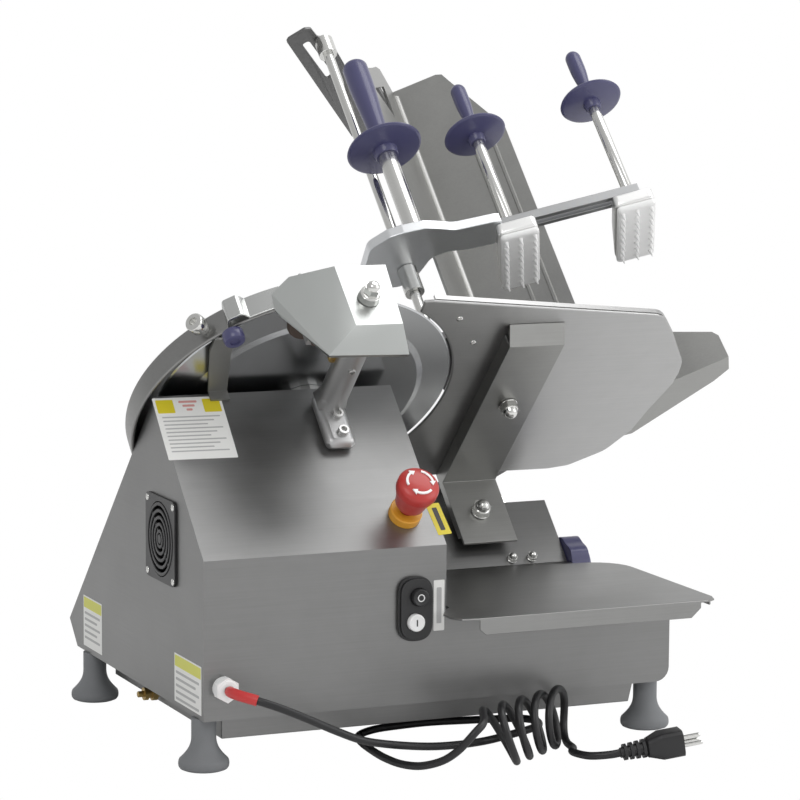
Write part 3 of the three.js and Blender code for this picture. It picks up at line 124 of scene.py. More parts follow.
def moved(part, matrix):
    """A (verts, faces) pair with its points turned and moved by a matrix."""
    verts, faces = part
    turn = np.array(matrix)
    return np.asarray(verts, float) @ turn[:3, :3].T + turn[:3, 3], faces


def shifted(part, x=0.0, y=0.0, z=0.0):
    return moved(part, Matrix.Translation((x, y, z)))


def rounded(points, radius, steps=4, closed=False):
    """An outline with its corners replaced by arcs of about that radius (or a list of radii).

    Each is the quadratic curve from a to b that heads for corner p: (1-t)^2 a + 2t(1-t) p + t^2 b."""
    straight, most = math.radians(172), 0.48
    count = len(points)
    radii = radius if isinstance(radius, (list, tuple)) else [radius] * count
    result = []
    for i, point in enumerate(points):
        p = Vector(point)
        before = Vector(points[i - 1]) - p
        after = Vector(points[(i + 1) % count]) - p
        angle = before.angle(after, 0.0)
        end = not closed and i in (0, count - 1)
        if radii[i] <= 0 or end or angle > straight or angle < 1e-3:
            result.append(tuple(point))
            continue
        cut = min(radii[i] / math.tan(angle / 2), most * before.length, most * after.length)
        a, b = p + before.normalized() * cut, p + after.normalized() * cut
        for t in np.linspace(0, 1, steps + 1).tolist():
            result.append(tuple((1 - t) ** 2 * a + 2 * t * (1 - t) * p + t ** 2 * b))
    return result


def closed_grid(rows, columns):
    """The quads of a grid that closes on itself both ways; its point (i, j) is number i * columns + j."""
    here = np.arange(rows * columns).reshape(rows, columns)
    beside = np.roll(here, -1, axis=1)
    corners = [here, beside, np.roll(beside, -1, axis=0), np.roll(here, -1, axis=0)]
    return np.stack(corners, axis=-1).reshape(-1, 4).tolist()


def lathe(profile, segments=96):
    """A turned body round z from (radius, z) points that start and end on the axis.

    Point (r, z) becomes (r cos a, r sin a, z) for evenly spaced a; each end is one point, a pole."""
    line = np.array(profile if profile[0][1] <= profile[-1][1] else profile[::-1], float)
    angles = np.linspace(0, 2 * math.pi, segments, endpoint=False)
    radius, height = line[1:-1, :1], line[1:-1, 1:]
    rings = np.stack([radius * np.cos(angles), radius * np.sin(angles), height + 0 * angles], axis=-1)
    verts = np.concatenate([[(0, 0, line[0, 1])], rings.reshape(-1, 3), [(0, 0, line[-1, 1])]])
    here = 1 + np.arange(len(radius) * segments).reshape(-1, segments)
    beside = np.roll(here, -1, axis=1)
    foot = np.stack([0 * here[0], beside[0], here[0]], axis=-1)
    walls = np.stack([here[:-1], beside[:-1], beside[1:], here[1:]], axis=-1).reshape(-1, 4)
    head = np.stack([here[-1], beside[-1], 0 * here[-1] + len(verts) - 1], axis=-1)
    return verts, [*foot.tolist(), *walls.tolist(), *head.tolist()]


def ring_lathe(profile, segments=96):
    """A closed (radius, z) profile carried round z: (r cos a, r sin a, z) for evenly spaced a."""
    radius, z = wound(profile, False).T
    angles = np.linspace(0, 2 * math.pi, segments, endpoint=False)[:, None]
    verts = np.stack([radius * np.cos(angles), radius * np.sin(angles), z + 0 * angles], axis=-1)
    return verts.reshape(-1, 3), closed_grid(segments, len(radius))


def wound(points, anticlockwise):
    """An outline's points in the wanted sense, by the sign of its area."""
    line = np.array([tuple(point) for point in points], float)
    x, y = line.T
    area = np.sum(x * np.roll(y, -1) - y * np.roll(x, -1))
    return line if (area > 0) == anticlockwise else line[::-1]


def prism(outline, low, high, holes=()):
    """An outline given depth along z, with flat caps and holes.

    The outline runs anticlockwise and each hole clockwise, so the quad over each step faces outward."""
    loops = [wound(outline, True)] + [wound(hole, False) for hole in holes]
    # Single precision, as a mesh holds it
    flat = np.concatenate(loops).astype(np.float32).astype(float)
    n = len(flat)
    verts = np.concatenate([np.column_stack([flat, np.full(n, z)]) for z in (low, high)])
    caps = np.array(tessellate_polygon([[Vector((x, y, 0)) for x, y in loop] for loop in loops]))
    ab, ac = flat[caps[:, 1]] - flat[caps[:, 0]], flat[caps[:, 2]] - flat[caps[:, 0]]
    clockwise = ab[:, 0] * ac[:, 1] < ab[:, 1] * ac[:, 0]
    caps[clockwise] = caps[clockwise][:, [0, 2, 1]]
    faces = np.stack([caps + n, caps[:, [0, 2, 1]]], axis=1).reshape(-1, 3).tolist()
    start = 0
    for loop in loops:
        here = start + np.arange(len(loop))
        after = np.roll(here, -1)
        faces += np.stack([here, after, after + n, here + n], axis=-1).tolist()
        start += len(loop)
    return verts, faces


def round_box(x0, x1, y0, y1, z0, z1):
    """A plain block as (verts, faces); a bevel modifier on the piece that holds it can round its edges."""
    verts = [(x, y, z) for z in (z0, z1) for y in (y0, y1) for x in (x0, x1)]
    faces = [(0, 2, 3, 1), (4, 5, 7, 6), (0, 1, 5, 4), (2, 6, 7, 3), (0, 4, 6, 2), (1, 3, 7, 5)]
    return verts, faces


def rectangle(width, height, radius, steps=6, x=0.0, y=0.0):
    corners = [(x + width / 2, y + height / 2), (x - width / 2, y + height / 2),
               (x - width / 2, y - height / 2), (x + width / 2, y - height / 2)]
    return rounded(corners, radius, steps, closed=True)


def circle(radius, segments=64, x=0.0, y=0.0):
    angles = [2 * math.pi * i / segments for i in range(segments)]
    return [(x + radius * math.cos(a), y + radius * math.sin(a)) for a in angles]


def soften(piece, edge, segments=3, angle=28.0, dissolve=True):
    """Welds the facets, dissolves flat ones and rounds the edges; the mesh itself isn't changed."""
    weld = piece.modifiers.new("Weld", "WELD")
    weld.merge_threshold = 2e-6
    if dissolve:
        flat = piece.modifiers.new("Flat faces", "DECIMATE")
        flat.decimate_type = "DISSOLVE"
        flat.angle_limit = math.radians(0.5)
    bevel = piece.modifiers.new("Edges", "BEVEL")
    bevel.width = edge * 0.001
    bevel.segments = segments
    bevel.limit_method = "ANGLE"
    bevel.angle_limit = math.radians(angle)
    bevel.use_clamp_overlap = True
    bevel.miter_outer = "MITER_ARC"


def even_normals(piece, keep_sharp):
    """Normals weighted by face size, so flat faces stay flat beside their rounded edges."""
    normals = piece.modifiers.new("Normals", "WEIGHTED_NORMAL")
    normals.keep_sharp = keep_sharp
    normals.weight = 80


def dress(node, finish, edge=0.6, segments=3):
    """A CAD node with its own material and, where edge isn't 0, rounded edges."""
    piece = NODES[node]
    piece.data.materials.clear()
    piece.data.materials.append(material_of(finish))
    if edge:
        soften(piece, edge, segments)
    piece.data.shade_smooth()
    even_normals(piece, True)


# Node helpers
def link_value(tree, socket, value):
    if isinstance(value, bpy.types.NodeSocket):
        tree.links.new(value, socket)
    elif value is not None:
        socket.default_value = value


def add(tree, kind, inputs=None, **settings):
    """A node with its settings and inputs (a value or another node's output)."""
    node = tree.nodes.new(kind)
    for key, value in settings.items():
        setattr(node, key, value)
    for key, value in (inputs or {}).items():
        link_value(tree, node.inputs[key], value)
    return node


def maths(tree, operation, a, b=None, c=None, clamp=False):
    node = add(tree, "ShaderNodeMath", {0: a, 1: b, 2: c}, operation=operation, use_clamp=clamp)
    return node.outputs[0]


def vector(tree, operation, a, b=None, output=0):
    node = add(tree, "ShaderNodeVectorMath", {0: a, 1: b}, operation=operation)
    return node.outputs[output]


def ramp(tree, value, low, high, out_low=0.0, out_high=1.0):
    """A smooth step from one value to another between two values of the input."""
    node = add(tree, "ShaderNodeMapRange", {"Value": value, "From Min": low, "From Max": high,
                                           "To Min": out_low, "To Max": out_high})
    node.interpolation_type = "SMOOTHSTEP"
    return node.outputs[0]


def noise(tree, coords, scale, detail=3.0, rough=0.5):
    inputs = {"Vector": coords, "Scale": scale, "Detail": detail, "Roughness": rough}
    return add(tree, "ShaderNodeTexNoise", inputs).outputs["Fac"]


def about(tree, value, share, centre):
    """Centre + share * (value - 1/2): a noise as a variation about a value."""
    return maths(tree, "MULTIPLY_ADD", maths(tree, "SUBTRACT", value, 0.5), share, centre)


def group(name, inputs, outputs):
    """A new node group of values; returns the tree, its input node and its output node."""
    tree = bpy.data.node_groups.new(name, "ShaderNodeTree")
    for label, default in inputs.items():
        socket = tree.interface.new_socket(label, in_out="INPUT", socket_type="NodeSocketFloat")
        socket.default_value = default
    for label in outputs:
        tree.interface.new_socket(label, in_out="OUTPUT", socket_type="NodeSocketFloat")
    return tree, tree.nodes.new("NodeGroupInput"), tree.nodes.new("NodeGroupOutput")


def brushed_group():
    """Fine parallel scratches and soft mottling of rolled sheet.

    Scratches are noise stretched along one axis; on faces that look along x the stretch is along y."""
    name = "Brushed sheet"
    if name in bpy.data.node_groups:
        return bpy.data.node_groups[name]
    tree, given, result = group(name, {"Length": 9.0, "Fineness": 620.0, "Contrast": 0.10},
                                ("Shade", "Roughness", "Height"))
    coords = add(tree, "ShaderNodeTexCoord").outputs["Object"]
    normal = add(tree, "ShaderNodeNewGeometry").outputs["True Normal"]
    split = add(tree, "ShaderNodeSeparateXYZ", {0: normal})
    side = ramp(tree, maths(tree, "ABSOLUTE", split.outputs[0]), 0.6, 0.8)
    slow, fast = given.outputs[0], given.outputs[1]
    stretches = [add(tree, "ShaderNodeCombineXYZ", {0: x, 1: y, 2: fast}).outputs[0]
                 for x, y in ((slow, fast), (fast, slow))]
    along_x, along_y = (noise(tree, vector(tree, "MULTIPLY", coords, stretch), 1.0, 4.0, 0.65)
                        for stretch in stretches)
    lines = add(tree, "ShaderNodeMix", {0: side, 2: along_x, 3: along_y}).outputs[0]
    mottle = noise(tree, coords, 14.0, 3.0, 0.55)
    smudge = noise(tree, coords, 55.0, 4.0, 0.6)
    signed = maths(tree, "SUBTRACT", lines, 0.5)
    shade = maths(tree, "MULTIPLY_ADD", signed, given.outputs[2], 1.0)
    shade = about(tree, mottle, 0.16, shade)
    shade = about(tree, smudge, 0.07, shade)
    rough = maths(tree, "MULTIPLY_ADD", signed, 0.22, 0.0)
    rough = about(tree, mottle, 0.18, rough)
    tree.links.new(shade, result.inputs[0])
    tree.links.new(rough, result.inputs[1])
    tree.links.new(lines, result.inputs[2])
    return tree


def grain_group():
    """Fine isotropic grain, for moulded, cast and rubber surfaces: noise of two sizes about zero."""
    name = "Fine grain"
    if name in bpy.data.node_groups:
        return bpy.data.node_groups[name]
    tree, given, result = group(name, {"Size": 900.0, "Patch": 30.0}, ("Grain", "Patches"))
    coords = add(tree, "ShaderNodeTexCoord").outputs["Object"]
    fine = noise(tree, coords, given.outputs[0], 3.0, 0.6)
    wide = noise(tree, coords, given.outputs[1], 4.0, 0.55)
    tree.links.new(maths(tree, "SUBTRACT", fine, 0.5), result.inputs[0])
    tree.links.new(maths(tree, "SUBTRACT", wide, 0.5), result.inputs[1])
    return tree


def new_material(name, colour, metallic, roughness, coat=0.0):
    """A material, its node tree and its shader with plain values."""
    material = bpy.data.materials.new(name)
    material.use_nodes = True
    material.diffuse_color = (*colour, 1.0)
    tree = material.node_tree
    shader = tree.nodes["Principled BSDF"]
    shader.inputs["Base Color"].default_value = (*colour, 1.0)
    shader.inputs["Metallic"].default_value = metallic
    shader.inputs["Roughness"].default_value = roughness
    shader.inputs["IOR"].default_value = 1.5
    if coat:
        shader.inputs["Coat Weight"].default_value = coat
        shader.inputs["Coat Roughness"].default_value = 0.15
    return material, tree, shader


def scaled_colour(tree, colour, factor):
    node = add(tree, "ShaderNodeMix", data_type="RGBA", blend_type="MULTIPLY")
    node.inputs[0].default_value = 1.0
    node.inputs[6].default_value = (*colour, 1.0)
    grey = add(tree, "ShaderNodeCombineColor", {0: factor, 1: factor, 2: factor})
    tree.links.new(grey.outputs[0], node.inputs[7])
    return node.outputs[2]


def bump(tree, shader, height, strength):
    """A height of up to 0.2 mm as the shader's normal."""
    node = add(tree, "ShaderNodeBump", {"Strength": strength, "Distance": 0.0002, "Height": height})
    tree.links.new(node.outputs[0], shader.inputs["Normal"])


def brushed(name, colour, roughness):
    """Rolled sheet: its shade, roughness and bump follow the brushed group's scratches."""
    material, tree, shader = new_material(name, colour, 1.0, roughness)
    grain = add(tree, "ShaderNodeGroup", {"Length": 9.0, "Fineness": 620.0, "Contrast": 0.22},
                node_tree=brushed_group())
    tree.links.new(scaled_colour(tree, colour, grain.outputs["Shade"]), shader.inputs["Base Color"])
    rough = maths(tree, "ADD", grain.outputs["Roughness"], roughness, clamp=True)
    tree.links.new(rough, shader.inputs["Roughness"])
    bump(tree, shader, grain.outputs["Height"], 0.08)
    return material


def grainy(name, colour, metallic, roughness, size, patch, depth, vary, coat=0.0):
    """Moulded, cast or painted matter: grain of one size and patches of another about its values."""
    material, tree, shader = new_material(name, colour, metallic, roughness, coat)
    grain = add(tree, "ShaderNodeGroup", {"Size": size, "Patch": patch}, node_tree=grain_group())
    shade = maths(tree, "MULTIPLY_ADD", grain.outputs["Patches"], vary, 1.0)
    shade = maths(tree, "MULTIPLY_ADD", grain.outputs["Grain"], vary * 0.6, shade)
    tree.links.new(scaled_colour(tree, colour, shade), shader.inputs["Base Color"])
    rough = maths(tree, "MULTIPLY_ADD", grain.outputs["Patches"], 0.12, roughness, clamp=True)
    tree.links.new(rough, shader.inputs["Roughness"])
    bump(tree, shader, grain.outputs["Grain"], depth)
    return material


def turned_metal(name, colour, roughness):
    """Metal with fine rings round its axis: noise of the distance from the piece's z axis."""
    contrast, fineness, strength = 0.10, 4.0, 0.03
    material, tree, shader = new_material(name, colour, 1.0, roughness)
    place = add(tree, "ShaderNodeAttribute", attribute_name="place").outputs["Vector"]
    split = add(tree, "ShaderNodeSeparateXYZ", {0: place})
    flat = add(tree, "ShaderNodeCombineXYZ", {0: split.outputs[0], 1: split.outputs[1], 2: 0.0})
    radius = vector(tree, "LENGTH", flat.outputs[0], output=1)
    line = maths(tree, "ADD", maths(tree, "MULTIPLY", radius, fineness),
                 maths(tree, "MULTIPLY", split.outputs[2], fineness))
    coords = add(tree, "ShaderNodeCombineXYZ", {0: line, 1: 0.0, 2: 0.0}).outputs[0]
    rings = noise(tree, coords, 1.0, 3.0, 0.6)
    patches = noise(tree, place, 0.03, 3.0, 0.5)
    shade = about(tree, rings, contrast, 1.0)
    shade = about(tree, patches, 0.10, shade)
    tree.links.new(scaled_colour(tree, colour, shade), shader.inputs["Base Color"])
    rough = maths(tree, "MULTIPLY_ADD", maths(tree, "SUBTRACT", rings, 0.5), 0.15, roughness, clamp=True)
    tree.links.new(rough, shader.inputs["Roughness"])
    bump(tree, shader, rings, strength)
    return material


# A finish has its slot, its kind, its material's name and its colour. A brushed or turned one goes on with
# its roughness, and a grainy one with metallic, roughness, grain, patch, bump depth, variation and coat.
FINISHES = {
    "steel": ("steel", brushed, "Brushed steel", (0.25, 0.25, 0.248), 0.40),
    # steel_dark is a darker copy of the brushed steel; on the handle plate that darkness is painted shade
    "steel_dark": ("dark_steel", brushed, "Darker dull steel", (0.20, 0.20, 0.20), 0.45),
    # steel_lit is the brushed steel made lighter for the drip tray and ring guard: painted light
    "steel_lit": ("steel", brushed, "Lit sheet", (0.29, 0.29, 0.285), 0.36),
    "cast": ("cast", grainy, "Polished casting", (0.60, 0.61, 0.60), 1.0, 0.27, 500.0, 25.0, 0.05, 0.10),
    "cast_dark": ("cast", grainy, "Dull casting", (0.80, 0.815, 0.83), 1.0, 0.34, 500.0, 25.0, 0.06, 0.12),
    "cast_plain": ("cast", grainy, "Plain casting", (0.45, 0.45, 0.44), 1.0, 0.42, 700.0, 30.0, 0.1, 0.2),
    "chrome": ("chrome", grainy, "Polished steel", (0.72, 0.72, 0.70), 1.0, 0.12, 1500.0, 20.0, 0.01, 0.05),
    "blade": ("blade_steel", turned_metal, "Ground blade", (0.56, 0.57, 0.58), 0.24),
    "turned": ("chrome", turned_metal, "Turned steel", (0.74, 0.74, 0.72), 0.16),
    "rubber": ("rubber", grainy, "Grey rubber", (0.19, 0.197, 0.205), 0.0, 0.62, 1200.0, 40.0, 0.25, 0.2),
    "black": ("black_plastic", grainy,
              "Black plastic", (0.018, 0.018, 0.019), 0.0, 0.38, 1500.0, 60.0, 0.08, 0.15),
    "blue": ("blue_plastic", grainy,
             "Blue plastic", (0.062, 0.061, 0.145), 0.0, 0.30, 1500.0, 30.0, 0.03, 0.12, 0.3),
    "white": ("white_plastic", grainy,
              "White plastic", (0.86, 0.86, 0.855), 0.0, 0.42, 1200.0, 40.0, 0.08, 0.06),
    "red": ("red_plastic", grainy,
            "Red plastic", (0.46, 0.030, 0.025), 0.0, 0.36, 1500.0, 60.0, 0.03, 0.08, 0.2),
    "yellow": ("yellow_plastic", grainy,
               "Yellow plastic", (0.70, 0.33, 0.03), 0.0, 0.40, 1500.0, 60.0, 0.04, 0.1),
    "brass": ("brass", turned_metal, "Brass", (0.46, 0.33, 0.13), 0.34),
    "stone": ("stone", grainy, "Grinding stone", (0.075, 0.055, 0.045), 0.0, 0.85, 900.0, 80.0, 0.7, 0.5),
    "belt": ("belt", grainy, "Belt rubber", (0.014, 0.014, 0.014), 0.0, 0.75, 900.0, 60.0, 0.3, 0.2),
    "cord": ("cord", grainy, "Cord sheath", (0.012, 0.012, 0.013), 0.0, 0.40, 700.0, 50.0, 0.15, 0.25),
    "label": ("white_plastic", grainy, "Label", (0.78, 0.78, 0.76), 0.0, 0.45, 900.0, 60.0, 0.01, 0.04),
    "label_header": ("yellow_plastic", grainy,
                     "Label header", (0.62, 0.62, 0.10), 0.0, 0.45, 900.0, 60.0, 0.01, 0.05),
    "steel_gauge": ("steel", brushed, "Gauge sheet", (0.46, 0.46, 0.457), 0.34),
    "steel_trough": ("steel", brushed, "Trough sheet", (0.36, 0.36, 0.35), 0.38),
    "cast_bar": ("cast", grainy, "Bar casting", (0.42, 0.425, 0.43), 1.0, 0.32, 500.0, 25.0, 0.05, 0.10),
    "cover": ("cast", grainy, "Cover casting", (0.45, 0.465, 0.455), 1.0, 0.30, 420.0, 20.0, 0.0, 0.03),
    "cap": ("cast", grainy, "Block casting", (0.93, 0.93, 0.92), 1.0, 0.30, 500.0, 25.0, 0.01, 0.04),
    "cast_bright": ("cast", grainy,
                    "Bright casting", (0.50, 0.50, 0.50), 1.0, 0.42, 500.0, 25.0, 0.08, 0.14),
    "screw": ("chrome", grainy, "Screw steel", (0.55, 0.55, 0.54), 1.0, 0.28, 1200.0, 20.0, 0.02, 0.06),
    "steel_pale": ("steel", brushed, "Pale strip", (0.30, 0.30, 0.29), 0.5),
    "label_yellow": ("yellow_plastic", grainy,
                     "Label yellow", (0.66, 0.55, 0.02), 0.0, 0.45, 900.0, 60.0, 0.01, 0.05),
    "label_red": ("red_plastic", grainy,
                  "Label red", (0.62, 0.30, 0.28), 0.0, 0.5, 900.0, 60.0, 0.01, 0.05),
    "red_sleeve": ("red_plastic", grainy,
                   "Red sleeve", (0.55, 0.035, 0.035), 0.0, 0.38, 900.0, 60.0, 0.05, 0.12),
    "symbol_light": ("white_plastic", grainy,
                     "Light symbol", (0.7, 0.7, 0.7), 0.0, 0.5, 900.0, 60.0, 0.01, 0.05),
    "symbol_dark": ("black_plastic", grainy,
                    "Dark symbol", (0.03, 0.03, 0.03), 0.0, 0.5, 900.0, 60.0, 0.01, 0.05),
    "label_grey": ("white_plastic", grainy,
                   "Label print", (0.42, 0.42, 0.42), 0.0, 0.5, 900.0, 60.0, 0.01, 0.08),
}
MADE = {}


def material_of(finish):
    """A finish's material, built the first time it is asked for."""
    if finish not in MADE:
        build, name, *look = FINISHES[finish][1:]
        MADE[finish] = build(name, *look)
    return MADE[finish]


# Camera
CAMERA = {
    "yaw": 0.41137637, "pitch": 0.13342865, "roll": 0.0060264, "place": (-1.355237, -3.108417, 0.751700),
    "focal_px": 3403.5, "picture_px": 800.0, "sensor_mm": 36.0,
}

# Cord route, in the machine's frame and in millimetres
CORD = {
    "radius": 3.7, "gland": (18.6, 79.2), "start_y": -14.6,
    "lead": [(22.5, -36, 78.6), (34, -47.5, 75.6), (51, -54, 69.5), (76, -57, 58.4), (107, -56, 43.3),
             (133, -53, 32), (160, -48, 24.7), (206, -42, 17), (240, -38, 15), (268, -33, 15),
             (300, -22, 16), (325, -9, 16), (342, 7, 15.5), (346.5, 26, 15), (338, 43, 14), (318, 53, 13),
             (288, 63, 12), (257, 72, 11), (229, 78, 9), (204, 82, 6.5), (185, 74, 4.6), (176.8, 54, 4.2),
             (172, 15, 4.2), (171.4, -21.9, 4.2), (176, -50, 4.6), (184.6, -74, 7.9), (197, -93, 16),
             (206, -103, 25.5), (214.5, -107.5, 35.5), (222, -108.5, 43.5), (230, -105.2, 48.7)],
    "tail": [(343.8, -61, 4.2), (345, -74, 4.3), (351, -86, 4.8)],
    "plug": (401, -103.6, 12.2), "rise": 8.5, "turn": -12.0, "relief": 27,
}
# The winding, in turns, millimetres and degrees
BUNDLE = {
    "centre": (256.4, -79.6), "step": (21.4, 10.6), "lean": (-12.6, 2.6), "lean_y": 2.5, "radius": 25.3,
    "from": -0.028, "to": 4.5, "facing": 20, "facing_more": 20, "facing_last": 4, "turn_back": 28,
    "last_from": 3.6, "last_shift": (0, 2), "lift": 0.9, "floor": 4.2, "straight": 8.4,
}


def smoothstep(value, low, high):
    share = min(max((value - low) / (high - low), 0.0), 1.0)
    return share * share * (3 - 2 * share)


def bundle_point(turn):
    """The winding's centreline after so many turns, a = 2 pi (turn + 1/4).

    A circle of radius r in an upright plane that faces f: the point lies -r cos a along (sin f, cos f) and
    r + r sin a above its resting height; its centre moves by a step each turn and leans with sin a."""
    b = BUNDLE
    last = smoothstep(turn, b["last_from"], b["to"])
    back = smoothstep(turn, b["to"] - 0.5, b["to"])
    share = min(max(turn / b["last_from"], 0.0), 1.0)
    facing = math.radians(b["facing"] + b["facing_more"] * share + b["facing_last"] * last
                          - b["turn_back"] * back)
    angle = 2 * math.pi * (turn + 0.25)
    out, up = -b["radius"] * math.cos(angle), math.sin(angle)
    x = (b["centre"][0] + b["step"][0] * turn + b["last_shift"][0] * last
         + (b["lean"][0] + b["lean"][1] * turn) * up)
    y = b["centre"][1] + b["step"][1] * turn + b["last_shift"][1] * last + b["lean_y"] * up
    rest = b["floor"] + b["lift"] * min(turn, b["last_from"]) * (1 - back)
    return Vector((x + out * math.sin(facing), y + out * math.cos(facing), rest + b["radius"] * (1 + up)))


def centripetal(points, per_span):
    """Points on a centripetal Catmull-Rom line through the given points."""
    p = [Vector(q) for q in points]
    p = [2 * p[0] - p[1]] + p + [2 * p[-1] - p[-2]]
    result = []
    for i in range(1, len(p) - 2):
        a, b, c, d = p[i - 1], p[i], p[i + 1], p[i + 2]
        t0 = 0.0
        t1 = t0 + max((b - a).length, 1e-6) ** 0.5
        t2 = t1 + max((c - b).length, 1e-6) ** 0.5
        t3 = t2 + max((d - c).length, 1e-6) ** 0.5
        for k in range(per_span):
            t = t1 + (t2 - t1) * k / per_span
            a1 = (t1 - t) / (t1 - t0) * a + (t - t0) / (t1 - t0) * b
            a2 = (t2 - t) / (t2 - t1) * b + (t - t1) / (t2 - t1) * c
            a3 = (t3 - t) / (t3 - t2) * c + (t - t2) / (t3 - t2) * d
            b1 = (t2 - t) / (t2 - t0) * a1 + (t - t0) / (t2 - t0) * a2
            b2 = (t3 - t) / (t3 - t1) * a2 + (t - t1) / (t3 - t1) * a3
            result.append((t2 - t) / (t2 - t1) * b1 + (t - t1) / (t2 - t1) * b2)
    result.append(p[-2])
    return result


def plug_frame():
    """The plug's frame in the machine's: z along the pins, y up, turned about z and tilted."""
    c, s = math.cos(math.radians(CORD["rise"])), math.sin(math.radians(CORD["rise"]))
    a, k = math.cos(math.radians(CORD["turn"])), math.sin(math.radians(CORD["turn"]))
    x, y, z = CORD["plug"]
    return Matrix(((-k, -s * a, c * a, x), (a, -s * k, c * k, y), (0.0, c, s, z), (0.0, 0.0, 0.0, 1.0)))


def cord_route():
    """The whole centreline in the machine's frame, in millimetres: lead, winding and tail."""
    c, b = CORD, BUNDLE
    x, z = c["gland"]
    way_in = (bundle_point(b["from"] + 0.001) - bundle_point(b["from"] - 0.001)).normalized()
    way_out = (bundle_point(b["to"] + 0.001) - bundle_point(b["to"] - 0.001)).normalized()
    entry = bundle_point(b["from"]) - way_in * b["straight"]
    leave = bundle_point(b["to"]) + way_out * b["straight"]
    back = entry - way_in * (2 * c["radius"] + 1)
    on = leave + way_out * (2 * c["radius"] + 1)
    plug = plug_frame()
    behind = [plug @ Vector((0, 0, -d)) for d in (c["relief"] + 2 * c["radius"] + 1, c["relief"] - 1)]
    lead = [(x, c["start_y"], z), (x, c["start_y"] - 9, z), *c["lead"], back, entry]
    tail = [leave, on, *c["tail"], *behind]
    turns = [bundle_point(b["from"] + (b["to"] - b["from"]) * i / 200) for i in range(201)]
    return centripetal(lead, 5)[:-1] + [entry] + turns + centripetal(tail, 6)


# Fine forms used by several pieces
def hexagon(across, turn=0.0):
    """A hexagon by its width across the flats."""
    radius = across / math.sqrt(3)
    angles = [math.radians(60 * i + turn) for i in range(6)]
    return [(radius * math.cos(a), radius * math.sin(a)) for a in angles]


def hull(points):
    """The convex hull of points as (verts, faces)."""
    mesh = bmesh.new()
    for p in points:
        mesh.verts.new(p)
    bmesh.ops.convex_hull(mesh, input=mesh.verts)
    loose = [v for v in mesh.verts if not v.link_faces]
    bmesh.ops.delete(mesh, geom=loose, context="VERTS")
    bmesh.ops.dissolve_limit(mesh, angle_limit=math.radians(1.0), verts=mesh.verts, edges=mesh.edges)
    bmesh.ops.recalc_face_normals(mesh, faces=mesh.faces)
    mesh.verts.index_update()
    result = [tuple(v.co) for v in mesh.verts], [tuple(v.index for v in f.verts) for f in mesh.faces]
    mesh.free()
    return result


def acorn(washer, across, low, top):
    """A dome nut on its washer, by the washer's radius, the width across and the heights it ends at."""
    r = across / 2
    neck = low + 0.5
    dome = [(r * 0.84 * math.cos(a), neck + (top - neck) * math.sin(a)) for a in np.linspace(0.1, 1.5, 9)]
    head = [(0, low - 1.5), (r * 0.99, low - 1.5), (r * 0.97, low - 0.2), (r * 0.86, neck), *dome, (0, top)]
    disc = [(0, 0.3), (washer - 0.4, 0.3), (washer, 0.7), (washer, 1.6), (washer - 0.5, 2.0), (0, 2.0)]
    return join(lathe(disc, 64), prism(hexagon(across), 2.0, low), lathe(head, 48))


def socket_screw(radius, height):
    """A cap screw with its socket, standing on z = 0."""
    socket, floor = radius * 0.5, height - radius * 0.6
    return lathe([(0, 0), (radius, 0), (radius, height - 0.5), (radius - 0.5, height),
                  (radius * 0.56, height), (socket, floor), (0, floor)], 40)


def flat_screw(radius, height=0.9):
    """A low domed screw head with a dimple for its recess."""
    return lathe([(0, 0), (radius, 0), (radius * 0.96, height * 0.45), (radius * 0.7, height * 0.85),
                  (radius * 0.35, height), (radius * 0.3, height * 0.4), (0, height * 0.3)], 32)


def grip_profile(rod, guard, waist, tip, length):
    """A handle's profile: round finger guard at its foot, waist, and a swelling, rounded end.

    The radius of the swelling is waist + (tip - waist) (1 - cos(pi t)) / 2 for t from 0 to 1 along it."""
    start, rounding = 22, 9
    bulge = [(waist + (tip - waist) * (0.5 - 0.5 * math.cos(math.pi * t)), start + (length - 2 * start) * t)
             for t in np.linspace(0, 1, 12)]
    end = [(tip * math.cos(a), length - rounding * (1 - math.sin(a))) for a in np.linspace(0.15, 1.45, 9)]
    foot = [(0, 0.3), (rod + 1.6, 0.3), (rod + 2.4, 1.2), (rod + 3.4, 7.6)]
    disc = [(guard - 3, 9.6), (guard - 0.8, 10.4), (guard, 11.7), (guard - 0.7, 13.0), (guard - 3, 13.8)]
    hollow = [(waist + 6, 15.6), (waist + 1.6, 18.4)]
    return [*foot, *disc, *hollow, *bulge, (tip, length - 14), *end, (0, length)]


def polar(radius, angle):
    """The point (r sin a, r cos a), with a in degrees clockwise from up."""
    return radius * math.sin(math.radians(angle)), radius * math.cos(math.radians(angle))


def arc(radius, start, end, steps):
    return [polar(radius, a) for a in np.linspace(start, end, steps + 1)]


def arc_band(inner, outer, start, end, low, high, steps):
    """A bent strip between two radii, with depth along z."""
    return prism(arc(outer, start, end, steps) + arc(inner, end, start, steps), low, high)


def tube(spots, inner, outer, segments):
    """A sleeve with a hole along a line of (place, way) pairs.

    A ring's point is place + r (s cos a + u sin a), with s level and square to the way, and u to both."""
    places, ways = (np.array(column) for column in zip(*spots))
    side = np.cross(ways, (0.0, 0.0, 1.0))
    side /= np.linalg.norm(side, axis=1, keepdims=True)
    up = np.cross(side, ways)
    angles = np.linspace(0, 2 * math.pi, segments, endpoint=False)[:, None]
    ring = side[:, None] * np.cos(angles) + up[:, None] * np.sin(angles)
    outside, inside = (places[:, None] + radius * ring for radius in (outer, inner))
    verts = np.concatenate([outside, inside[::-1]])
    return verts.reshape(-1, 3), closed_grid(len(verts), segments)


# Settings shown in the panel
def length(name, description, default):
    return FloatProperty(name=name, description=description, default=default, unit="LENGTH", min=0.0,
                         precision=4)


def count(name, description, default, low=0, high=1000):
    return IntProperty(name=name, description=description, default=default, min=low, max=high)


class CordSettings(PropertyGroup):
    sides: count("Roundness", "Points on a quarter of the cord's section", 5)
    diameter: length("Diameter", "Outer diameter of the mains cord", 0.0074)


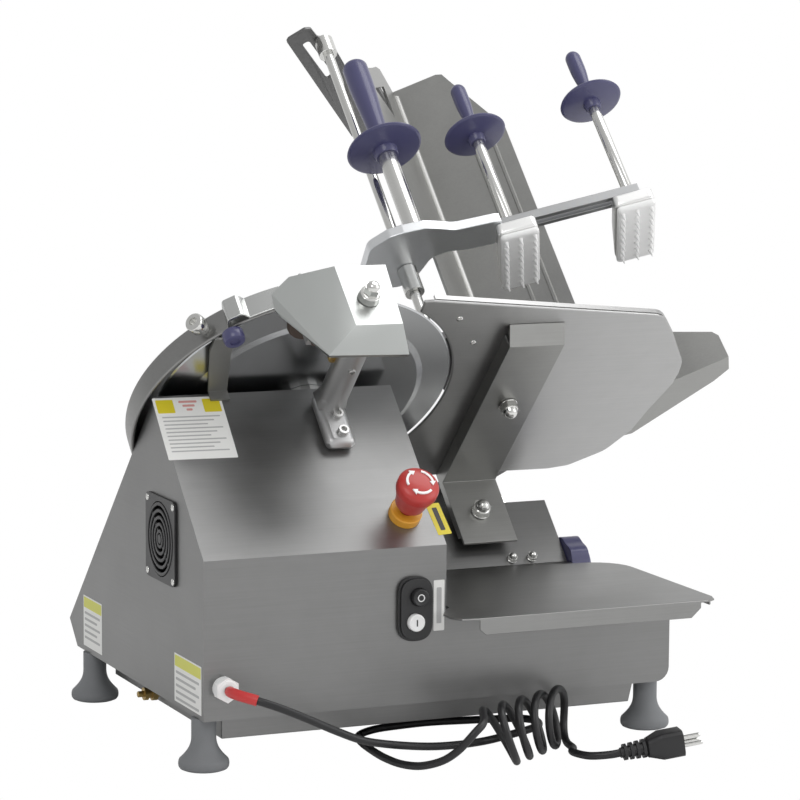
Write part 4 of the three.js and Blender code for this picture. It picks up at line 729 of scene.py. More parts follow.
class FootSettings(PropertyGroup):
    radius: length("Bell radius", "Widest radius of a rubber foot", 0.0235)
    neck: length("Neck radius", "Radius of the foot's neck", 0.0115)


class FanSettings(PropertyGroup):
    side: length("Side", "Side of the square guard", 0.080)
    rings: count("Rings", "Concentric rings of the guard", 5, 1, 5)


class StopSettings(PropertyGroup):
    head: length("Head radius", "Radius of the emergency stop's mushroom head", 0.020)
    arrows: count("Arrows", "Curved turn arrows on the head", 3, 0, 3)


class BladeSettings(PropertyGroup):
    radius: length("Blade radius", "Radius of the cutting edge", 0.150)
    segments: count("Segments", "Steps round the blade", 240, 24)


class PadSettings(PropertyGroup):
    rows: count("Rows", "Rows of spikes on a pad", 8, 1)
    columns: count("Columns", "Columns of spikes on a pad", 3, 1)
    spike: length("Spike height", "Height of a spike over its pad", 0.008)


class GripSettings(PropertyGroup):
    big_guard: length("Big guard radius", "Finger guard of the arm's handle", 0.0385)
    small_guard: length("Small guard radius", "Finger guards of the blocks' handles", 0.032)


def power(name, description, default):
    return FloatProperty(name=name, description=description, default=default, subtype="POWER", min=0.0)


class StageSettings(PropertyGroup):
    key: power("Key power", "Power of the lamp at the left", 20.0)
    fill: power("Fill power", "Power of the lamp at the right", 14.0)
    top: power("Top power", "Power of the lamp overhead", 20.0)
    around: FloatProperty(name="Surroundings", description="Brightness of the surroundings", default=0.90)


class SlicerSettings(PropertyGroup):
    cord: PointerProperty(type=CordSettings)
    foot: PointerProperty(type=FootSettings)
    fan: PointerProperty(type=FanSettings)
    stop: PointerProperty(type=StopSettings)
    blade: PointerProperty(type=BladeSettings)
    pad: PointerProperty(type=PadSettings)
    grip: PointerProperty(type=GripSettings)
    stage: PointerProperty(type=StageSettings)


class Build:
    """What the operators share: they are run from the panel, register undo and finish at once."""
    bl_options = {"REGISTER", "UNDO"}


class SLICER_OT_camera(Build, Operator):
    """Place the camera that took the picture"""
    bl_idname = "slicer.camera"
    bl_label = "Camera"

    def execute(self, context):
        c = CAMERA
        yaw, level = c["yaw"], math.cos(c["pitch"])
        forward = Vector((math.sin(yaw) * level, math.cos(yaw) * level, -math.sin(c["pitch"])))
        right = Vector((math.cos(yaw), -math.sin(yaw), 0.0))
        up = right.cross(forward)
        turned_right = right * math.cos(c["roll"]) + up * math.sin(c["roll"])
        turned_up = up * math.cos(c["roll"]) - right * math.sin(c["roll"])
        data = bpy.data.cameras.new("Camera")
        data.sensor_width = c["sensor_mm"]
        data.lens = c["sensor_mm"] * c["focal_px"] / c["picture_px"]
        data.clip_start, data.clip_end = 0.05, 50.0
        camera = bpy.data.objects.new("Camera", data)
        rotation = Matrix((turned_right, turned_up, -forward)).transposed().to_4x4()
        camera.matrix_world = Matrix.Translation(c["place"]) @ rotation
        context.scene.collection.objects.link(camera)
        context.scene.camera = camera
        return {"FINISHED"}


class SLICER_OT_cord(Build, Operator):
    """Lay the mains cord with its winding and dress the plug"""
    bl_idname = "slicer.cord"
    bl_label = "Mains cord"

    def execute(self, context):
        settings = context.scene.slicer.cord
        nearest = 0.0012
        route = [MACHINE @ p for p in cord_route()]
        spaced = [route[0]]
        for p in route[1:]:
            if (p - spaced[-1]).length > nearest:
                spaced.append(p)
        data = bpy.data.curves.new("mains_cord", "CURVE")
        data.dimensions = "3D"
        data.bevel_depth = settings.diameter / 2
        data.bevel_resolution = settings.sides
        data.use_fill_caps = True
        spline = data.splines.new("POLY")
        spline.points.add(len(spaced) - 1)
        spline.points.foreach_set("co", np.array([[*p, 1.0] for p in spaced], np.float32).ravel())
        spline.use_smooth = True
        cord = bpy.data.objects.new("mains_cord", data)
        context.scene.collection.objects.link(cord)
        data.materials.append(material_of("cord"))
        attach(cord, "base")
        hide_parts("mains_cord_lead", "mains_cord_bundle", "mains_cord_tail")
        for node in ("plug_pin_earth", "plug_pin_live", "plug_pin_neutral"):
            dress(node, "chrome", 0)
        dress("plug_body", "black", 0.8)
        return {"FINISHED"}


class SLICER_OT_housing(Build, Operator):
    """Dress the sheet-metal housing, its pan and the drip tray"""
    bl_idname = "slicer.housing"
    bl_label = "Housing"

    def execute(self, context):
        dress("base_housing", "steel", 2.4, 4)
        dress("base_pan", "steel", 1.2)
        # The tray's lighter steel is painted light
        dress("drip_tray", "steel_lit", 0.7)
        terminal = [(0, 0.3), (4, 0.3), (4, 4), (7, 4), (7, 9), (4.5, 9), (4.5, 13), (6.2, 13), (6.2, 17),
                    (3, 17), (3, 22.4), (2.4, 23), (0, 23)]
        place = at(MACHINE, 24, 186, 36) @ spin("Y", -90)
        make("earth_terminal_fine", lathe(terminal, 40), place, "base", "brass", 35, "earth_terminal")
        return {"FINISHED"}


class SLICER_OT_feet(Build, Operator):
    """Turn the four bell-shaped rubber feet"""
    bl_idname = "slicer.feet"
    bl_label = "Feet"

    def execute(self, context):
        settings = context.scene.slicer.foot
        bell, neck = settings.radius * 1000, settings.neck * 1000
        shoulder, rise, top = 9.6, 22.4, 48.2
        rim = bell - 0.9
        flare = [(neck + (rim - neck) * (1 - math.sin(t * math.pi / 2)) ** 1.35, shoulder + rise * t)
                 for t in np.linspace(0, 1, 14)]
        profile = [(0, 0), (19.4, 0), (bell - 1.6, 1.0), (bell - 0.3, 2.8), (bell, 4.6), (bell, 6.6),
                   (bell - 0.35, 8.4), *flare, (neck, top), (0, top)]
        places = {"foot_front_left": (8, 22), "foot_rear_left": (8, 336), "foot_front_right": (463, 22),
                  "foot_rear_right": (447, 324)}
        for name, (x, y) in places.items():
            make(name + "_bell", lathe(profile, 72), at(MACHINE, x, y), "base", "rubber", 50, name)
        return {"FINISHED"}


class SLICER_OT_fan(Build, Operator):
    """Build the cooling fan's guard with its rings and screws, and dress the fan behind it"""
    bl_idname = "slicer.fan"
    bl_label = "Fan"

    def execute(self, context):
        fan = context.scene.slicer.fan
        side = fan.side * 1000
        opening, widest, pitch, width, face = 35.5, 34.6, 6.4, 3.2, 2.2
        panel = at(LEFT_PANEL, -110.6, 199.8, 0.3)
        plate = prism(rectangle(side, side, 8, 8), 0.0, face, [circle(opening, 72)])
        rings = []
        for i in range(fan.rings):
            outer = widest - i * pitch
            inner = outer - width
            rings.append(ring_lathe([(inner, 0.7), (outer, 0.7), (outer, 2.4), (outer - 0.5, 2.9),
                                     (inner + 0.5, 2.9), (inner, 2.4)], 64))
        hub = lathe([(0, 0.6), (4.6, 0.6), (4.6, 2.5), (4.1, 3.0), (0, 3.0)], 40)
        spoke = round_box(4, 36.2, -1.6, 1.6, 0.4, 1.9)
        spokes = [moved(spoke, spin("Z", 45 + 90 * i)) for i in range(4)]
        make("fan_guard_fine", join(plate, *rings, hub, *spokes), panel, "base", "black", 30, "fan_guard")
        half = side / 2 - 5.2
        screws = [shifted(flat_screw(3.3, 1.0), x, y, face) for x in (-half, half) for y in (-half, half)]
        make("fan_screws", join(*screws), panel, "base", "chrome", 40)
        dress("fan_frame", "black", 0.4)
        dress("fan_rotor", "black", 0.3)
        return {"FINISHED"}


class SLICER_OT_switch(Build, Operator):
    """Build the start and stop station with its symbols"""
    bl_idname = "slicer.switch"
    bl_label = "Switch"

    def execute(self, context):
        centre_x, centre_z = 208, 139
        buttons = {"start": (207, 126.8, 11, "white", "symbol_dark"),
                   "stop": (210.5, 150.4, 12, "black", "symbol_light")}
        holes = [circle(8.6, 48, x - centre_x, z - centre_z) for x, z, *_ in buttons.values()]
        flange = prism(rectangle(35, 61, 17.4, 14), 0.3, 4.0, holes)
        rim = prism(rectangle(31, 57, 15.4, 14), 4.0, 6.2, holes)
        place = at(FRONT_PANEL, centre_x, centre_z)
        make("switch_plate_fine", join(flange, rim), place, "base", "black", 30, "switch_plate", FULL)
        for body, (x, z, face, finish, print_finish) in buttons.items():
            node = body + "_button"
            place = at(FRONT_PANEL, x, z)
            profile = [(0, -8), (4, -8), (4, 3.4), (8.2, 3.4), (8.2, face - 1.4), (7.7, face - 0.4),
                       (6.8, face - 0.1), (6.2, face - 0.5), (0, face - 0.5)]
            make(node + "_fine", lathe(profile, 64), place, body, finish, 40, node)
            low, high = face - 0.55, face - 0.35
            if body == "start":
                mark = prism(rectangle(1.3, 6.4, 0.3, 2), low, high)
            else:
                mark = prism(circle(3.6, 40), low, high, [circle(2.6, 40)])
            make(node + "_mark", mark, place, body, print_finish, 30)
        return {"FINISHED"}


class SLICER_OT_stop(Build, Operator):
    """Build the emergency stop with its collar and turn arrows"""
    bl_idname = "slicer.stop"
    bl_label = "Emergency stop"

    def execute(self, context):
        stop = context.scene.slicer.stop
        head = stop.head * 1000
        foot = 15.5
        place = at(NEAR_SLOPE, 47.5, -168.9)
        collar = ring_lathe([(7, 0.3), (15.5, 0.3), (15.5, 8.0), (14.6, 9.0), (7, 9.0)], 80)
        make("estop_collar_fine", collar, place, "base", "yellow", 35, "estop_collar")
        crown = [(head * 0.995 * math.cos(a) ** 0.8, foot + 31 + 6.4 * math.sin(a))
                 for a in np.linspace(0.05, 1.35, 10)]
        profile = [(0, -6), (5.5, -6), (5.5, foot), (11.6, foot), (12, foot + 0.5), (12, foot + 3),
                   (14.1, foot + 3.4), (14.5, foot + 4.2), (16.2, foot + 13), (head - 0.5, foot + 22.6),
                   (head, foot + 24.4), (head, foot + 30.6), *crown, (0, foot + 37.5)]
        make("estop_head_fine", lathe(profile, 96), place, "emergency_stop", "red", 40, "estop_head")
        marks = []
        for i in range(stop.arrows):
            start = 360.0 * i / stop.arrows + 20
            bend = start + 70
            outline = [*arc(13.6, start, bend, 14), polar(15.6, bend), polar(12.5, bend + 22),
                       polar(9.4, bend), *arc(11.4, bend, start, 14)]
            marks.append(prism(outline, foot + 36.2, foot + 37.5))
        if marks:
            make("estop_arrows", join(*marks), place, "emergency_stop", "white", 30)
        return {"FINISHED"}


class SLICER_OT_gland(Build, Operator):
    """Build the white cord gland and the bare red sleeve on the cord"""
    bl_idname = "slicer.gland"
    bl_label = "Gland"

    def execute(self, context):
        bore, sleeve_radius = 3.9, 5.0
        sleeve_from, sleeve_to = 3, 42
        line = cord_route()
        walked, spots = 0.0, []
        for p, q in zip(line, line[1:]):
            if sleeve_from <= walked <= sleeve_to and (q - p).length > 0.5:
                spots.append((p, (q - p).normalized()))
            walked += (q - p).length
        make("cord_sleeve", tube(spots, bore, sleeve_radius, 28), MACHINE, "base", "red_sleeve", 40)
        body = ring_lathe([(bore, -6), (5.4, -6), (5.4, 0.3), (10.5, 0.3), (10.5, 4.6), (9.6, 5.2),
                           (bore, 5.2)], 48)
        nut = prism(hexagon(20.6, 30), 5.2, 13.2, [circle(bore, 32)])
        cap = ring_lathe([(bore, 13.2), (9.4, 13.2), (9.0, 13.8), (7.2, 14.3), (bore, 14.3)], 48)
        make("cable_gland_fine", join(body, nut, cap), at(FRONT_PANEL, *CORD["gland"]), "base", "white", 35,
             "cable_gland", FULL)
        return {"FINISHED"}


class SLICER_OT_labels(Build, Operator):
    """Lay the bare labels, the yellow strip and the white strip"""
    bl_idname = "slicer.labels"
    bl_label = "Labels"

    def execute(self, context):
        def sheet(name, matrix, x0, x1, y0, y1, finish, gap=LABEL_GAP):
            outline = rectangle(x1 - x0, y1 - y0, 1.0, 3, (x0 + x1) / 2, (y0 + y1) / 2)
            make(name, prism(outline, gap, gap + LABEL_THICK), matrix, "base", finish, 30)

        def print_on(name, matrix, x0, x1, y0, y1, finish):
            sheet(name, matrix, x0, x1, y0, y1, finish, PRINT_GAP)

        for i, (x0, x1, y0, y1) in enumerate(((-346, -289, 54, 105), (-78, -6, 53, 98.5))):
            sheet(f"label_{i}", LEFT_PANEL, x0, x1, y0, y1, "label")
            print_on(f"label_{i}_header", LEFT_PANEL, x0 + 1.5, x1 - 1.5, y1 - 12, y1 - 1.5, "label_header")
            for k in range(5):
                top, end = y1 - 16 - k * 6.2, x1 - 6 - 9 * (k % 2)
                print_on(f"label_{i}_bar_{k}", LEFT_PANEL, x0 + 4, end, top - 2.4, top, "label_grey")
        big = at(NEAR_SLOPE, -163.6, -18) @ spin("Z", -1)
        sheet("slope_label", big, 0, 68, -72, 0, "label")
        for k, x in enumerate((2.5, 48.5)):
            print_on(f"slope_label_square_{k}", big, x, x + 17, -18, -2.5, "label_yellow")
        for k in range(3):
            top = -4 - 4.6 * k
            print_on(f"slope_label_head_{k}", big, 25 + 3 * k, 43 - 3 * k, top - 2.5, top, "label_red")
        for k in range(10):
            top = -22.2 - 4.4 * k
            print_on(f"slope_label_line_{k}", big, 5, 62 - 7 * (k % 3), top - 1.4, top, "label_grey")
        strip = at(NEAR_SLOPE, 73.5, -158) @ spin("Z", 4)
        sheet("slope_strip", strip, -1, 13, -36, 0, "label_yellow")
        print_on("slope_strip_mark", strip, 3.5, 8.5, -31, -5, "symbol_dark")
        sheet("strip_white", FRONT_PANEL, 228, 239, 116, 164, "label")
        print_on("strip_mark", FRONT_PANEL, 231, 236, 123, 157, "label_grey")
        return {"FINISHED"}


class SLICER_OT_blade(Build, Operator):
    """Turn the blade, its guard ring with strap and hump, the rim screw, the knob and the deflector"""
    bl_idname = "slicer.blade"
    bl_label = "Blade and guard"

    def execute(self, context):
        settings = context.scene.slicer.blade
        edge, steps = settings.radius * 1000, settings.segments
        bevel = edge - 29
        profile = [(0, 2.6), (bevel - 8, 2.6), (bevel + 4, 1.6), (edge, 0.2), (edge, 0.5),
                   (edge - 1.5, 1.4), (bevel, 4.2), (bevel - 6, 6), (0, 6)]
        make("blade_fine", lathe(profile, steps), SLANT, "blade_assembly", "blade", 8, "blade")

        wall, near, far, bottom = 3.5, 15.6, -9.0, -185
        outer = edge + 20.7
        inner = outer - wall
        band = arc_band(inner, outer, -21.5, bottom, far, near, 160)
        lip = arc_band(edge - 16, inner + 0.5, -48, bottom, far, far + 3, 160)
        # The ring guard's lighter steel is painted light
        make("ring_guard_fine", join(band, lip), SLANT, "base", "steel_lit", 35, "ring_guard", FULL)

        flat = [(a, 0.0) for a in np.linspace(-22.0, -33.0, 10)]
        hump = [(-33.4 - 7.4 * t, 10.0 * min(1.0, 1.7 * math.sin(math.pi * t)))
                for t in np.linspace(0, 1, 13)]
        upper = [polar(outer + 2.4 + height, a) for a, height in flat + hump]
        lower = [polar(outer - 0.6 + height, a) for a, height in flat + hump]
        strap = prism(upper + lower[::-1], far + 1, far + 24)
        make("ring_strap", strap, SLANT, "base", "cast", 35, "", FULL)

        head = [(0, 0), (5, 0), (5, 8), (8.6, 8), (9, 8.6), (9, 18.2), (8.2, 19.6), (7, 20), (4, 20),
                (4, 15), (0, 15)]
        place = at(SLANT @ spin("Z", 48.5), 0, outer + 0.3, 3) @ SLOPE_AXIS
        make("ring_screw_fine", lathe(head, 64), place, "base", "chrome", 35, "ring_screw")

        knob = [(0, 0.3), (4.5, 0.3), (4.5, 3), (8.6, 3.4), (10, 4.6), (10.3, 8), (10.2, 13), (9.4, 14.6),
                (7.6, 15.2), (5, 15.2), (4.6, 13.6), (0, 13.6)]
        place = at(SLANT, *polar(outer - wall / 2, -40.4), near)
        make("ring_knob_fine", lathe(knob, 64), place, "base", "blue", 35, "ring_knob")
        dress("deflector_bracket", "steel_pale", 0.5)
        dress("blade_shaft", "cast_plain", 0)
        return {"FINISHED"}


class SLICER_OT_gauge(Build, Operator):
    """Build the gauge plate with its round cut-out, its bracket, nuts, screws and the thickness dial"""
    bl_idname = "slicer.gauge"
    bl_label = "Gauge"

    def execute(self, context):
        thick, gap = 3.0, 2
        outline = [(85, 142), (95, 142.5), (346, 106.5), (357, 101), (373.5, 78), (404, 29), (407, 10),
                   (406.5, -8), (395.5, -47.5), (388.5, -83), (370, -116), (335.5, -138.5), (313, -142.3),
                   (258, -141.8), (92, -140)]
        corners = rounded(outline, [0, 4, 14, 14, 30, 30, 14, 14, 40, 20, 30, 20, 20, 10, 0], 5)
        # The round cut-out lies a gap outside the blade's edge, between the points at two distances along x
        cut = context.scene.slicer.blade.radius * 1000 + gap
        low, high = -math.acos(91.55 / cut), math.acos(85.4 / cut)
        edge = [(cut * math.cos(a), cut * math.sin(a)) for a in np.linspace(low, high, 120)]
        make("gauge_plate_face", prism(corners + edge, 0.0, thick), SLANT, "gauge", "steel_gauge", 30,
             "gauge_plate", FULL)
        fold = [(97, 142.2), (346, 106.4), (352, 103.8), (357, 99.5), (366, 88), (364, 86.6), (355, 97.7),
                (350.5, 101.6), (345, 103.6), (97, 139.4)]
        make("gauge_lip", prism(fold, -5, -0.02), SLANT, "gauge", "steel_gauge", 30)
        dress("gauge_bracket", "steel_trough", 1.0)

        nut = acorn(9.5, 17.2, 8.5, 16.6)
        make("gauge_nut_upper_fine", nut, at(SLANT, 216, -5, 19), "gauge", "chrome", 35, "gauge_nut_upper")
        make("gauge_nut_lower_fine", nut, at(SLANT, 216, -131.866, 58) @ SLOPE_AXIS, "gauge", "chrome", 35,
             "gauge_nut_lower")
        places = ((130.2, 113.7), (156.7, 75.7), (207.9, -133.2), (250.2, -136.4))
        heads = [shifted(flat_screw(3.4), x, y, thick) for x, y in places]
        make("gauge_screws", join(*heads), SLANT, "gauge", "chrome", 40)
        for i, x in enumerate((401, 423)):
            place = at(MACHINE, x, 195, 139) @ spin("X", 45)
            make(f"slope_nut_{i}", acorn(5.2, 9.0, 5.2, 9.4), place, "base", "chrome", 35)

        # Eight shallow lobes: radius 32.5 - 1.1 (1 - cos 8a)
        angles = [2 * math.pi * i / 192 for i in range(192)]
        radii = [32.5 - 1.1 * (1 - math.cos(8 * a)) for a in angles]
        lobes = prism([(r * math.cos(a), r * math.sin(a)) for r, a in zip(radii, angles)], 1, 21)
        face = lathe([(0, 20), (27.5, 20), (27.5, 23), (26.5, 24), (0, 24)], 64)
        spindle = lathe([(0, -24), (6, -24), (6, 2), (0, 2)], 32)
        make("thickness_dial_fine", join(lobes, face, spindle), at(MACHINE, 461, 209, 123) @ X_AXIS, "dial",
             "blue", 30, "thickness_dial", FULL)
        return {"FINISHED"}


class SLICER_OT_sharpener(Build, Operator):
    """Build the sharpener's post with its screws, its cover, bolt and stones"""
    bl_idname = "slicer.sharpener"
    bl_label = "Sharpener"

    def execute(self, context):
        self.post()
        self.cover()
        self.fasteners()
        stone_x, stone_y = STONE_AXIS
        for node, body, start, sign, reach in (("grinding_stone", "grinding_wheel", 10, 1, 28),
                                               ("truing_stone", "truing_wheel", -9.5, -1, 16)):
            stone = [(0, 0), (19.4, 0), (20, 0.6), (20.6, 3), (20.2, 6), (19, 8)]
            profile = [(radius, start + sign * depth)
                       for radius, depth in (*stone, (4, 8), (4, reach), (0, reach))]
            make(node + "_fine", lathe(profile, 72), at(SLANT, stone_x, stone_y), body, "stone", 35, node)
        return {"FINISHED"}

    def post(self):
        """The block on the near slope with its screws, the foot on it and the round column."""
        face = NEAR_Y + 14
        post_x, post_z = 6, 42
        block = round_box(-10, 20, NEAR_Y + 0.3, face, 30, 92)
        make("sharpener_block", block, SLANT, "base", "cast_bright", 30, "sharpener_post", FULL)
        ring = [(post_x + 13.6 * math.cos(a), face + 13, post_z + 13.6 * math.sin(a))
                for a in np.linspace(0, 6.28, 33)]
        foot = hull([(x, face - 1, z) for x in (-9, 19) for z in (30.5, 51)] + ring)
        make("sharpener_foot", foot, SLANT, "base", "cast_bright", 50, "", FULL)
        column = lathe([(0, 10), (14, 10), (14, 133), (13.3, 133.8), (0, 133.8)], 96)
        place = at(SLANT, post_x, NEAR_Y, post_z) @ SLOPE_AXIS
        make("sharpener_column", column, place, "base", "cast_bright", 35)
        screws = [shifted(socket_screw(5.4, 4.6), 8, -z, 14.0) for z in (58.5, 78.5)]
        make("sharpener_screws", join(*screws), NEAR_SLOPE, "base", "screw", 35)

    def cover(self):
        """The cover as a shell, with its webs round the stones' spindles.

        It is the hull of the top and the rim without the faces that look down, given a wall."""
        top = [(-15.7, 186, 62), (31, 185.6, 62), (37, 181.2, -12), (-14.4, 181.4, -12)]
        rim = [(-48.7, 180.3, 91), (31.3, 176.6, 91), (37, 151, -12), (-56, 168, -12), (-75.8, 162.7, 3),
               (-77.4, 162.5, 22), (-74.3, 163.8, 32)]
        verts, faces = hull(top + rim)
        corners = [[Vector(verts[i]) for i in face[:3]] for face in faces]
        shell = [face for face, (a, b, c) in zip(faces, corners) if (b - a).cross(c - a).y > -1e-6]
        cover = make("sharpener_cover_shell", (verts, shell), SLANT, "sharpener", "cover", 60,
                     "sharpener_cover")
        wall = cover.modifiers.new("Wall", "SOLIDIFY")
        wall.thickness, wall.offset, wall.use_even_offset = 0.003, -1.0, True
        soften(cover, 2.2, 5, 9.0, False)
        even_normals(cover, False)

        x, y = STONE_AXIS
        hole = [circle(4.4, 32, x, y)]
        webs = [prism(rectangle(14, 46, 2, 3, x, y + 16), 22.6, 34, hole),
                prism(rectangle(14, 34, 2, 3, x, y + 10), -24, -19.6, hole),
                round_box(x - 7, x + 7, 153, 158, -19.8, 22.8)]
        make("sharpener_webs", join(*webs), SLANT, "sharpener", "cast_bright", 30, "", FULL)

    def fasteners(self):
        """The post's brass disc and screw, and the dome nut on the cover."""
        disc = lathe([(0, 0), (5.4, 0), (5.4, 3.4), (4.9, 4), (2, 4), (1.8, 3.2), (0, 3.2)], 40)
        make("post_brass_disc", disc, at(SLANT, -9.5, 110.4, 38), "base", "brass", 35)
        make("post_screw", socket_screw(3.4, 3.0), at(SLANT, 5, 108.5, 54.6), "base", "screw", 35)
        washer = lathe([(0, 0.3), (10.5, 0.3), (10.3, 1.4), (9.5, 6.8), (7, 8), (0, 8)], 64)
        dome = [(0, 14.6), (6.55, 14.6), (6.4, 16.0), (5.8, 18.2), (4.2, 20.2), (2.2, 20.9), (0, 21)]
        bolt = join(washer, prism(hexagon(13.2), 7.5, 16), lathe(dome, 48))
        make("cover_bolt_fine", bolt, at(SLANT, 6.2, 184.8, 30) @ SLOPE_AXIS, "sharpener", "chrome", 35,
             "cover_bolt")


class SLICER_OT_carriage(Build, Operator):
    """Dress the trough and build the slotted plate, the guide rod and the slide parts"""
    bl_idname = "slicer.carriage"
    bl_label = "Carriage"

    def execute(self, context):
        dress("carriage_trough", "steel_trough", 0.8)
        far, near = -439.3, -436.3
        outline = [(-56, 21), (-24, 24), (-24, 30), (-2.8, 30), (-2.8, 112), (-24, 126), (-24, 192),
                   (-33.8, 200), (-35.4, 217.5), (-41, 221), (-60.6, 217.4), (-64.3, 214)]
        slot = [(-47.5, 130.7), (-39.4, 135.4), (-43.6, 201.2), (-52, 199.9)]
        plate = prism(rounded(outline, [4, 3, 0, 0, 0, 4, 6, 5, 4, 4, 4, 4], 5, True), far, near,
                      [rounded(slot, 3.9, 6, True)])
        ear = round_box(-5.8, -2.8, 30, 112, -437.8, -420.3)
        # The plate gets the darker steel: painted shade, since it is a sheet in shadow whose back faces us
        make("handle_plate_fine", join(plate, ear), TROUGH, "carriage", "steel_dark", 30, "handle_plate",
             FULL)
        knob = lathe([(0, 0), (4.4, 0), (5.2, 0.8), (5.4, 5.5), (4.6, 7.2), (2.6, 8), (0, 8.2)], 40)
        make("handle_plate_knob", knob, at(TROUGH, -33, 128, far) @ AWAY_AXIS, "carriage", "blue", 35)
        rod = [(0, -436), (9.2, -436), (9.7, -435.3), (9.7, -415.6), (9.1, -415), (5.2, -415), (5.2, -36),
               (10.2, -36), (10.2, -14), (0, -14)]
        make("guide_rod_fine", lathe(rod, 72), GUIDE_ROD, "carriage", "turned", 35, "guide_rod")
        dress("slide_rail", "chrome", 0.4)
        dress("carriage_arm", "steel_dark", 0.8)
        return {"FINISHED"}


class SLICER_OT_arm(Build, Operator):
    """Build the meat arm: sleeve, casting, slotted bar, handle rod and grip"""
    bl_idname = "slicer.arm"
    bl_label = "Meat arm"

    def execute(self, context):
        bore, far, near = 5.6, -136, -125
        sleeve = ring_lathe([(bore, -124.7), (9.5, -124.7), (10, -124.2), (10, -95.2), (9.5, -94.7),
                             (bore, -94.7)], 64)
        make("arm_sleeve_fine", sleeve, GUIDE_ROD, "arm_slide", "chrome", 35, "arm_sleeve")
        outline = [(93.5, 30), (90, 66), (106, 84), (119, 90), (140, 96), (154, 95), (174, 92), (212, 103),
                   (219.4, 103.8), (227.7, 78.4), (225.5, 69.6), (197, 61), (176, 59), (161, 50), (156, 28),
                   (152, 14), (140, 6), (112, 2), (97, 12)]
        radii = [12, 14, 10, 10, 10, 10, 20, 10, 1, 1, 6, 20, 20, 14, 12, 10, 14, 14, 10]
        casting = prism(rounded(outline, radii, 6, True), far, near, [circle(bore, 48, 139.4, 32.8)])
        make("arm_casting_plate", casting, SLANT, "meat_arm", "cast_dark", 30, "arm_casting", FULL)
        boss = ring_lathe([(bore, -146), (12.8, -146), (14, -144.8), (14, -135), (bore, -135)], 64)
        make("arm_boss", boss, GUIDE_ROD, "meat_arm", "cast_dark", 35)
        screw = lathe([(0, 0), (6.4, 0), (6.2, 1.6), (5.2, 3.0), (3, 3.8), (0, 4)], 40)
        make("arm_screw", screw, at(SLANT, 158, 70, far) @ AWAY_AXIS, "meat_arm", "chrome", 35)
        bar = prism([(-66, -8.5), (80, -8.5), (80, 8.5), (-66, 8.5)], -135, -125.3,
                    [rounded([(-60, -3), (74, -3), (74, 3), (-60, 3)], 2.9, 5, True)])
        make("slotted_bar_fine", bar, BAR, "meat_arm", "cast_bar", 30, "slotted_bar", FULL)

        rod, end = 9.4, -232.5
        profile = [(0, end), (rod, end), (rod, -137), (rod - 0.6, -136.3), (0, -136.3)]
        make("handle_rod_fine", lathe(profile, 72), HANDLE_ROD, "meat_arm", "turned", 35, "handle_rod")
        guard = context.scene.slicer.grip.big_guard * 1000
        grip = lathe(grip_profile(rod, guard, 9.5, 13, 127.5), 96)
        make("handle_grip_fine", grip, at(HANDLE_ROD, 0, 0, end) @ AWAY_AXIS, "meat_arm", "blue", 40,
             "handle_grip")
        return {"FINISHED"}


class SLICER_OT_blocks(Build, Operator):
    """Build the two meat blocks with their spiked pads and grips"""
    bl_idname = "slicer.blocks"
    bl_label = "Meat blocks"

    def execute(self, context):
        for body, along, rod_x, drop, level in (("block_inner", -50.2, -3.5, 0.0, 250),
                                                ("block_outer", 70.5, 0.0, 3.5, 255)):
            self.block(context.scene.slicer, body, at(BAR, along, 0), rod_x, drop, level)
        return {"FINISHED"}

    def block(self, settings, body, place, rod_x, drop, level):
        """One block, lowered by a drop, on a rod whose grip ends at a level before the blade's plane."""
        half, back, front, pad_thick = 20.5, -124.7, -112.0, 6.5
        top, bottom = 15.5 - drop, -73.5 - drop
        corners = [(half - 3, top, back), (half, top - 3, back), (half - 3, top - 1, front),
                   (half, top - 4, front), (half - 3, bottom + 4, back + 6), (half, top - 40, back),
                   (half, bottom, front)]
        shape = hull([(side * x, y, z) for x, y, z in corners for side in (-1, 1)])
        make(body + "_body", shape, place, body, "cap", 30, body + "_clamp", FULL)

        rod, rod_end = 5.6, 11.5 - level
        tip = lathe([(0, -139), (2.6, -139), (2.6, -122.7), (0, -122.7)], 32)
        shank = [(0, rod_end), (rod, rod_end), (rod, -135.9), (rod - 0.4, -135.3), (0, -135.3)]
        make(body + "_rod", join(tip, lathe(shank, 64)), at(place, rod_x, 0), body, "turned", 35)

        height = top - bottom - 1
        face = front + 0.3 + pad_thick
        outline = rectangle(2 * half - 1, height, 5, 5, 0, (top + bottom) / 2 - 0.5)
        plate = prism(outline, front + 0.3, face)
        make(body + "_pad_plate", plate, place, body, "white", 30, body + "_pad", FULL)

        pad, tall = settings.pad, settings.pad.spike * 1000
        spike = lathe([(0, -0.8), (2.6, -0.8), (2.0, 0.4), (0.5, tall - 0.4), (0, tall)], 20)
        column_gap = (half - 0.5) * 0.74
        row_gap = (height - 17) / max(pad.rows - 1, 1)
        middle = (pad.columns - 1) / 2
        spikes = [shifted(spike, (column - middle) * column_gap, top - 9 - row * row_gap, face)
                  for column in range(pad.columns) for row in range(pad.rows)]
        make(body + "_spikes", join(*spikes), place, body, "white", 40)

        guard = settings.grip.small_guard * 1000
        grip = lathe(grip_profile(rod, guard, 5.3, 8, 78), 96)
        make(body + "_grip_fine", grip, at(place, rod_x, 0, rod_end) @ AWAY_AXIS, body, "blue", 40,
             body + "_grip")


class SLICER_OT_inside(Build, Operator):
    """Dress the motor, bearing, pulley and belt inside the housing"""
    bl_idname = "slicer.inside"
    bl_label = "Drive"

    def execute(self, context):
        for node, finish in (("blade_bearing", "cast_plain"), ("motor", "steel_dark"),
                             ("motor_pulley", "cast_plain"), ("drive_belt", "belt")):
            dress(node, finish, 0)
        return {"FINISHED"}


